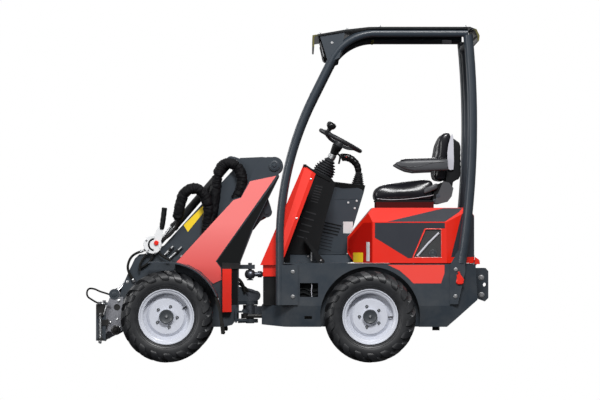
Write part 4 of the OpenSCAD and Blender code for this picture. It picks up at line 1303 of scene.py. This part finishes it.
def make_steering_wheel():
    """Dished wheel: thick grip, three flat spokes, hub and the turning knob."""
    bm = bmesh.new()
    axis = Vector((math.sin(COLUMN_TILT), 0, math.cos(COLUMN_TILT)))
    across = Vector((math.cos(COLUMN_TILT), 0, -math.sin(COLUMN_TILT)))
    hub = Vector((331, 0, 1380))
    inner = STEERING_R - 12.5
    turns = [math.tau * k / 14 for k in range(14)]
    grip = [(13 * math.sin(turn), STEERING_R + 13 * math.cos(turn)) for turn in turns]
    add_rings(bm, hub, axis, grip, 64, 0, closed=True)
    add_rings(bm, hub, axis, [(-44, 20), (-44, 30), (-14, 34), (-6, 30), (-2, 18), (-1, 8)], 40, 0)
    for turn in (math.radians(90), math.radians(210), math.radians(330)):
        out = across * math.cos(turn) + Vector((0, 1, 0)) * math.sin(turn)
        route = [hub + out * 24 - axis * 26, hub + out * 70 - axis * 22, hub + out * 112 - axis * 8,
                 hub + out * inner]
        add_tube(bm, smooth_route(route, 6), lambda t, angle: 8 + 2.5 * math.cos(2 * angle), 16, 0)
    foot = hub + across * -95 + Vector((0, -102, 0))
    add_rings(bm, foot, axis, [(-15, 16), (-15, 20), (15, 20), (17, 14), (24, 13), (32, 17), (40, 26),
                               (52, 31), (64, 30), (73, 22), (76, 8)], 36, 1)
    ob = finish_piece("hand_wheel", bm, "steering_wheel", ["grey_rubber", "gloss"], 50)
    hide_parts("steering_wheel")


def add_console_face(bm):
    """The console's blank label, dark top strip, bolts and louvres."""
    add_plate(bm, [(350, 798), (412, 798), (412, 872), (350, 872)], 203.9, 205.2, 0)
    add_plate(bm, [(262, 1128), (487, 1102), (478, 1064), (466, 1080), (440, 1088), (349, 1083),
                   (300, 1094), (258, 1096)], 202.6, 205.2, 4)
    for x, z in ((382, 993), (436, 1004), (423, 957)):
        add_rings(bm, (x, 205, z), (0, -1, 0), [(0, 6.5), (3, 6.5), (4.5, 4.5)], 18, 0)
    # the slots of the louvres, each with its lip; the slots are black, painted shade inside the openings
    for k in range(9):
        x, z = 216 - 4 * k, 866 - 20 * k
        wide, thick = (124 - 4 * k, 9) if k < 4 else (88, 4)
        add_plate(bm, [(x, z), (x + wide, z - 0.22 * wide), (x + wide, z - 0.22 * wide + thick),
                       (x, z + thick)], 202.2, 203.2, 4)
        add_plate(bm, [(x, z - 3), (x + wide, z - 3 - 0.22 * wide), (x + wide, z - 0.22 * wide), (x, z)],
                  200.8, 203.2, 5)
    add_plate(bm, [(210, 884), (346, 858), (346, 680), (177, 680)], 203, 205.1, 5)


def add_deck_sill(bm):
    """The sill before the column with the pedal's bracket, its bolts, and a raised strip on the right."""
    add_box(bm, (14, -119, 613.2), (392, -107, 665), 5)
    add_box(bm, (14, -119, 662), (392, -106, 665), 5)
    add_box(bm, (143, -124, 624), (152, -118.8, 680), 2)
    for x, y, z in ((126, -118.8, 652), (205, -210, 628)):
        add_rings(bm, (x, y, z), (0, -1, 0), [(0, 6.5), (3, 6.5), (5, 4)], 18, 2)
    add_box(bm, (10, 215, 614), (418, 332, 666), 5)


def make_labels():
    """Blank labels, with what lies on the console's face and the deck."""
    bm = bmesh.new()
    add_console_face(bm)
    add_deck_sill(bm)
    finish_piece("cab_labels", bm, "rear_frame", ["white", "slate", "zinc", "yellow", "black_and_painted_shade", "console"])
    bm = bmesh.new()
    add_plate(bm, [(-654, 849), (-534, 968), (-518, 942), (-627, 806)], -71.2, -69.8, 0)
    finish_piece("arm_label", bm, "boom", ["yellow"])
    bm = bmesh.new()
    add_plate(bm, [(487, 624), (507, 624), (507, 742), (487, 742)], -1.6, 0.6, 0, hood_nose)
    add_plate(bm, [(407, 617), (467, 617), (467, 677), (407, 677)], -1.6, 0.6, 1, hood_nose)
    finish_piece("hood_label", bm, "hood", ["white", "yellow"])


make_column_shroud()
make_cowl_cap()
make_lever()
make_steering_wheel()
make_labels()


# Bolts, lamps and brackets

def make_frame_fixings():
    """Bolts, roof screws, post foot plates and red tie-down hooks of the rear frame."""
    bm = bmesh.new()
    for z in (560, 407):
        add_bolt(bm, (32, -422, z), (0, -1, 0), 12, 0)
    for x, z in ((1034, 408), (1036, 574)):
        add_bolt(bm, (x, -424, z), (0, -1, 0), 12, 0)
    for x, z in ((1212, 520), (1214, 412)):
        add_bolt(bm, (x, -60, z), (0, -1, 0), 17, 0)
    add_bolt(bm, (274, -421, 1972), (0, -1, 0), 8, 0)
    for x, z in ((366, 2053.5), (569, 2070), (1096, 2070), (198, 2026)):
        add_rings(bm, (x, -404, z), (0, 0, 1), [(0, 13), (2, 13), (3, 8), (9, 8), (11, 6)], 20, 0)
    add_plate(bm, [(1004, 352), (1050, 352), (1074, 560), (1078, 594), (1008, 594)], -412.5, -410.2, 1)
    add_plate(bm, [(1041, 540), (1058, 548), (1084, 492), (1070, 484), (1046, 488)], -438, -424, 2)
    add_tube(bm, smooth_route([(1052, -431, 560), (1062, -431, 536), (1080, -431, 508), (1064, -431, 488),
                               (1044, -431, 494), (1048, -431, 516)], 6), 7, 12, 2)
    mirror_all(bm)
    finish_piece("frame_fixings", bm, "rear_frame", ["zinc", "slate", "red"])


def make_rail_label_and_clip():
    """A blank label and a plated clip inside the roof rail, and a black block under the skirt."""
    bm = bmesh.new()
    add_plate(bm, [(985, 2014), (1046, 2014), (1046, 2036), (985, 2036)], 373.6, 375.2, 0)
    add_plate(bm, [(526, 2008), (540, 2003), (552, 2030), (538, 2036)], 367, 375.2, 1)
    add_box(bm, (896, -330, 196), (940, -290, 228), 2)
    finish_piece("rail_label_and_clip", bm, "rear_frame", ["plate_grey", "bronze", "plastic"])


def make_window_hoses():
    """What shows through the skirts' windows."""
    bm = bmesh.new()
    for k in range(3):
        z = 418 + 26 * k
        add_tube(bm, smooth_route([(60, -372 + 5 * k, z), (100, -366 + 5 * k, z + 12),
                                   (150, -368 + 5 * k, z - 8), (205, -372 + 5 * k, z + 6)], 6), 8, 12, 0)
    add_tube(bm, smooth_route([(146, -392, 500), (149, -394, 470), (146, -392, 440), (150, -390, 398)], 6),
             2.2, 10, 1)
    # Painted shade: a black sheet behind the window for the dark inside of the frame
    add_box(bm, (70, -362, 400), (194, -358, 494), 0)
    mirror_all(bm)
    finish_piece("skirt_window_hoses", bm, "rear_frame", ["black_and_painted_shade", "plate_grey"])


def make_lamp_lenses():
    """Lenses of the two work lamps."""
    bm = bmesh.new()
    add_plate(bm, [(219, 1896), (226, 1893), (205, 1984), (200, 1984)], -339, -261, 0)
    mirror_all(bm)
    finish_piece("lamp_lenses", bm, "rear_frame", ["lens"])


def make_tail_markers():
    """Red markers at the hood's tail, which tip with it."""
    bm = bmesh.new()
    add_plate(bm, [(1157, 606), (1189, 606), (1184, 634), (1160, 650)], -340, -300, 0)
    add_box(bm, (1188.5, -334, 608), (1190.5, -306, 630), 1)
    mirror_all(bm)
    finish_piece("tail_markers", bm, "hood", ["red", "white"])


def make_tower_pin_caps():
    """Caps and bolts on the arm's pivot pin."""
    bm = bmesh.new()
    add_rings(bm, (-84, -164, 1221), (0, -1, 0), [(0, 29), (3, 29), (4, 26), (4, 18), (1.5, 17), (1.5, 13)],
              40, 0)
    add_bolt(bm, (-84, -165, 1221), (0, -1, 0), 13, 0)
    mirror_all(bm)
    finish_piece("tower_pin_caps", bm, "front_frame", ["slate"])


def make_ram_glands():
    """The rams' glands and their hose ports; foot and eye are (x, z), with the barrel's length and radius."""
    for name, body, foot, eye, length, r in (
            ("lift_gland", "lift_barrel", (-134, 931), (-652, 642), 490, 31),
            ("tilt_gland", "tilt_barrel", (-358, 1252), (-1079, 418), 560, 25)):
        a, b = Vector((foot[0], 0, foot[1])), Vector((eye[0], 0, eye[1]))
        along = (b - a).normalized()
        bm = bmesh.new()
        gland = [(0, r + 0.4), (1, r + 3), (20, r + 3), (22, r + 0.4), (25, r + 0.4)]
        add_rings(bm, a + along * (length - 26), along, gland, 36, 0)
        for t in (60, length - 60):
            spot = a + along * t
            add_rings(bm, spot, (along.z, 0, -along.x), [(r - 4, 10), (r + 9, 10), (r + 9, 8), (r + 14, 8)],
                      18, 1)
        finish_piece(name, bm, body, ["black_steel", "zinc"])


def make_arm_fittings():
    """Pipes, unions and pin caps on the arm's side."""
    bm = bmesh.new()
    add_rings(bm, (-668, -83, 650), (0.45, -1, 0.5), [(-8, 9), (12, 9), (14, 7)], 18, 0)
    for a, b in (((-742, -84, 640), (-664, -84, 712)), ((-772, -90, 662), (-716, -90, 716))):
        a, b = Vector(a), Vector(b)
        add_tube(bm, [a, a.lerp(b, 0.5), b], 9, 16, 0)
        add_rings(bm, a.lerp(b, 0.62), b - a, [(-10, 14), (10, 14)], 6, 1)
    for x, z in ((-1005, 492), (-1060, 330)):
        add_rings(bm, (x, -70.2, z), (0, -1, 0), [(0, 10), (2, 10), (2.4, 8)], 24, 0)
    finish_piece("arm_fittings", bm, "boom", ["zinc", "black_steel"])


def make_swivel_hoses():
    """Side plates of the upper link, and two hoses at the swivel."""
    bm = bmesh.new()
    add_plate(bm, [(-410, 571), (-410, 614), (-300, 611), (-300, 577)], -158, -150, 0)
    mirror_all(bm)
    add_tube(bm, smooth_route([(-330, -60, 520), (-304, -66, 506), (-282, -66, 474), (-270, -58, 430)], 8),
             9, 14, 1)
    add_tube(bm, smooth_route([(-330, -40, 500), (-290, -52, 470), (-262, -56, 452), (-250, -50, 430)], 8),
             8, 14, 1)
    finish_piece("swivel_hoses", bm, "front_frame", ["black_steel", "rubber"])


def make_mud_flaps():
    """Thick rubber flaps with two clamp bolts each."""
    bm = bmesh.new()
    add_plate(bm, [(-449, 402), (-433, 409), (-411, 332), (-398, 250), (-386, 182), (-390, 175),
                   (-409, 177), (-416, 252), (-428, 330)], -478, -345, 0)
    for y in (-450, -375):
        add_bolt(bm, (-431, y, 388), (1, 0, 0.28), 8, 1)
    mirror_all(bm)
    ob = finish_piece("rubber_flaps", bm, "front_frame", ["rubber", "zinc"])
    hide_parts("mud_flaps")


make_frame_fixings()
make_rail_label_and_clip()
make_window_hoses()
make_lamp_lenses()
make_tail_markers()
make_mud_flaps()
make_tower_pin_caps()
make_ram_glands()
make_arm_fittings()
make_swivel_hoses()
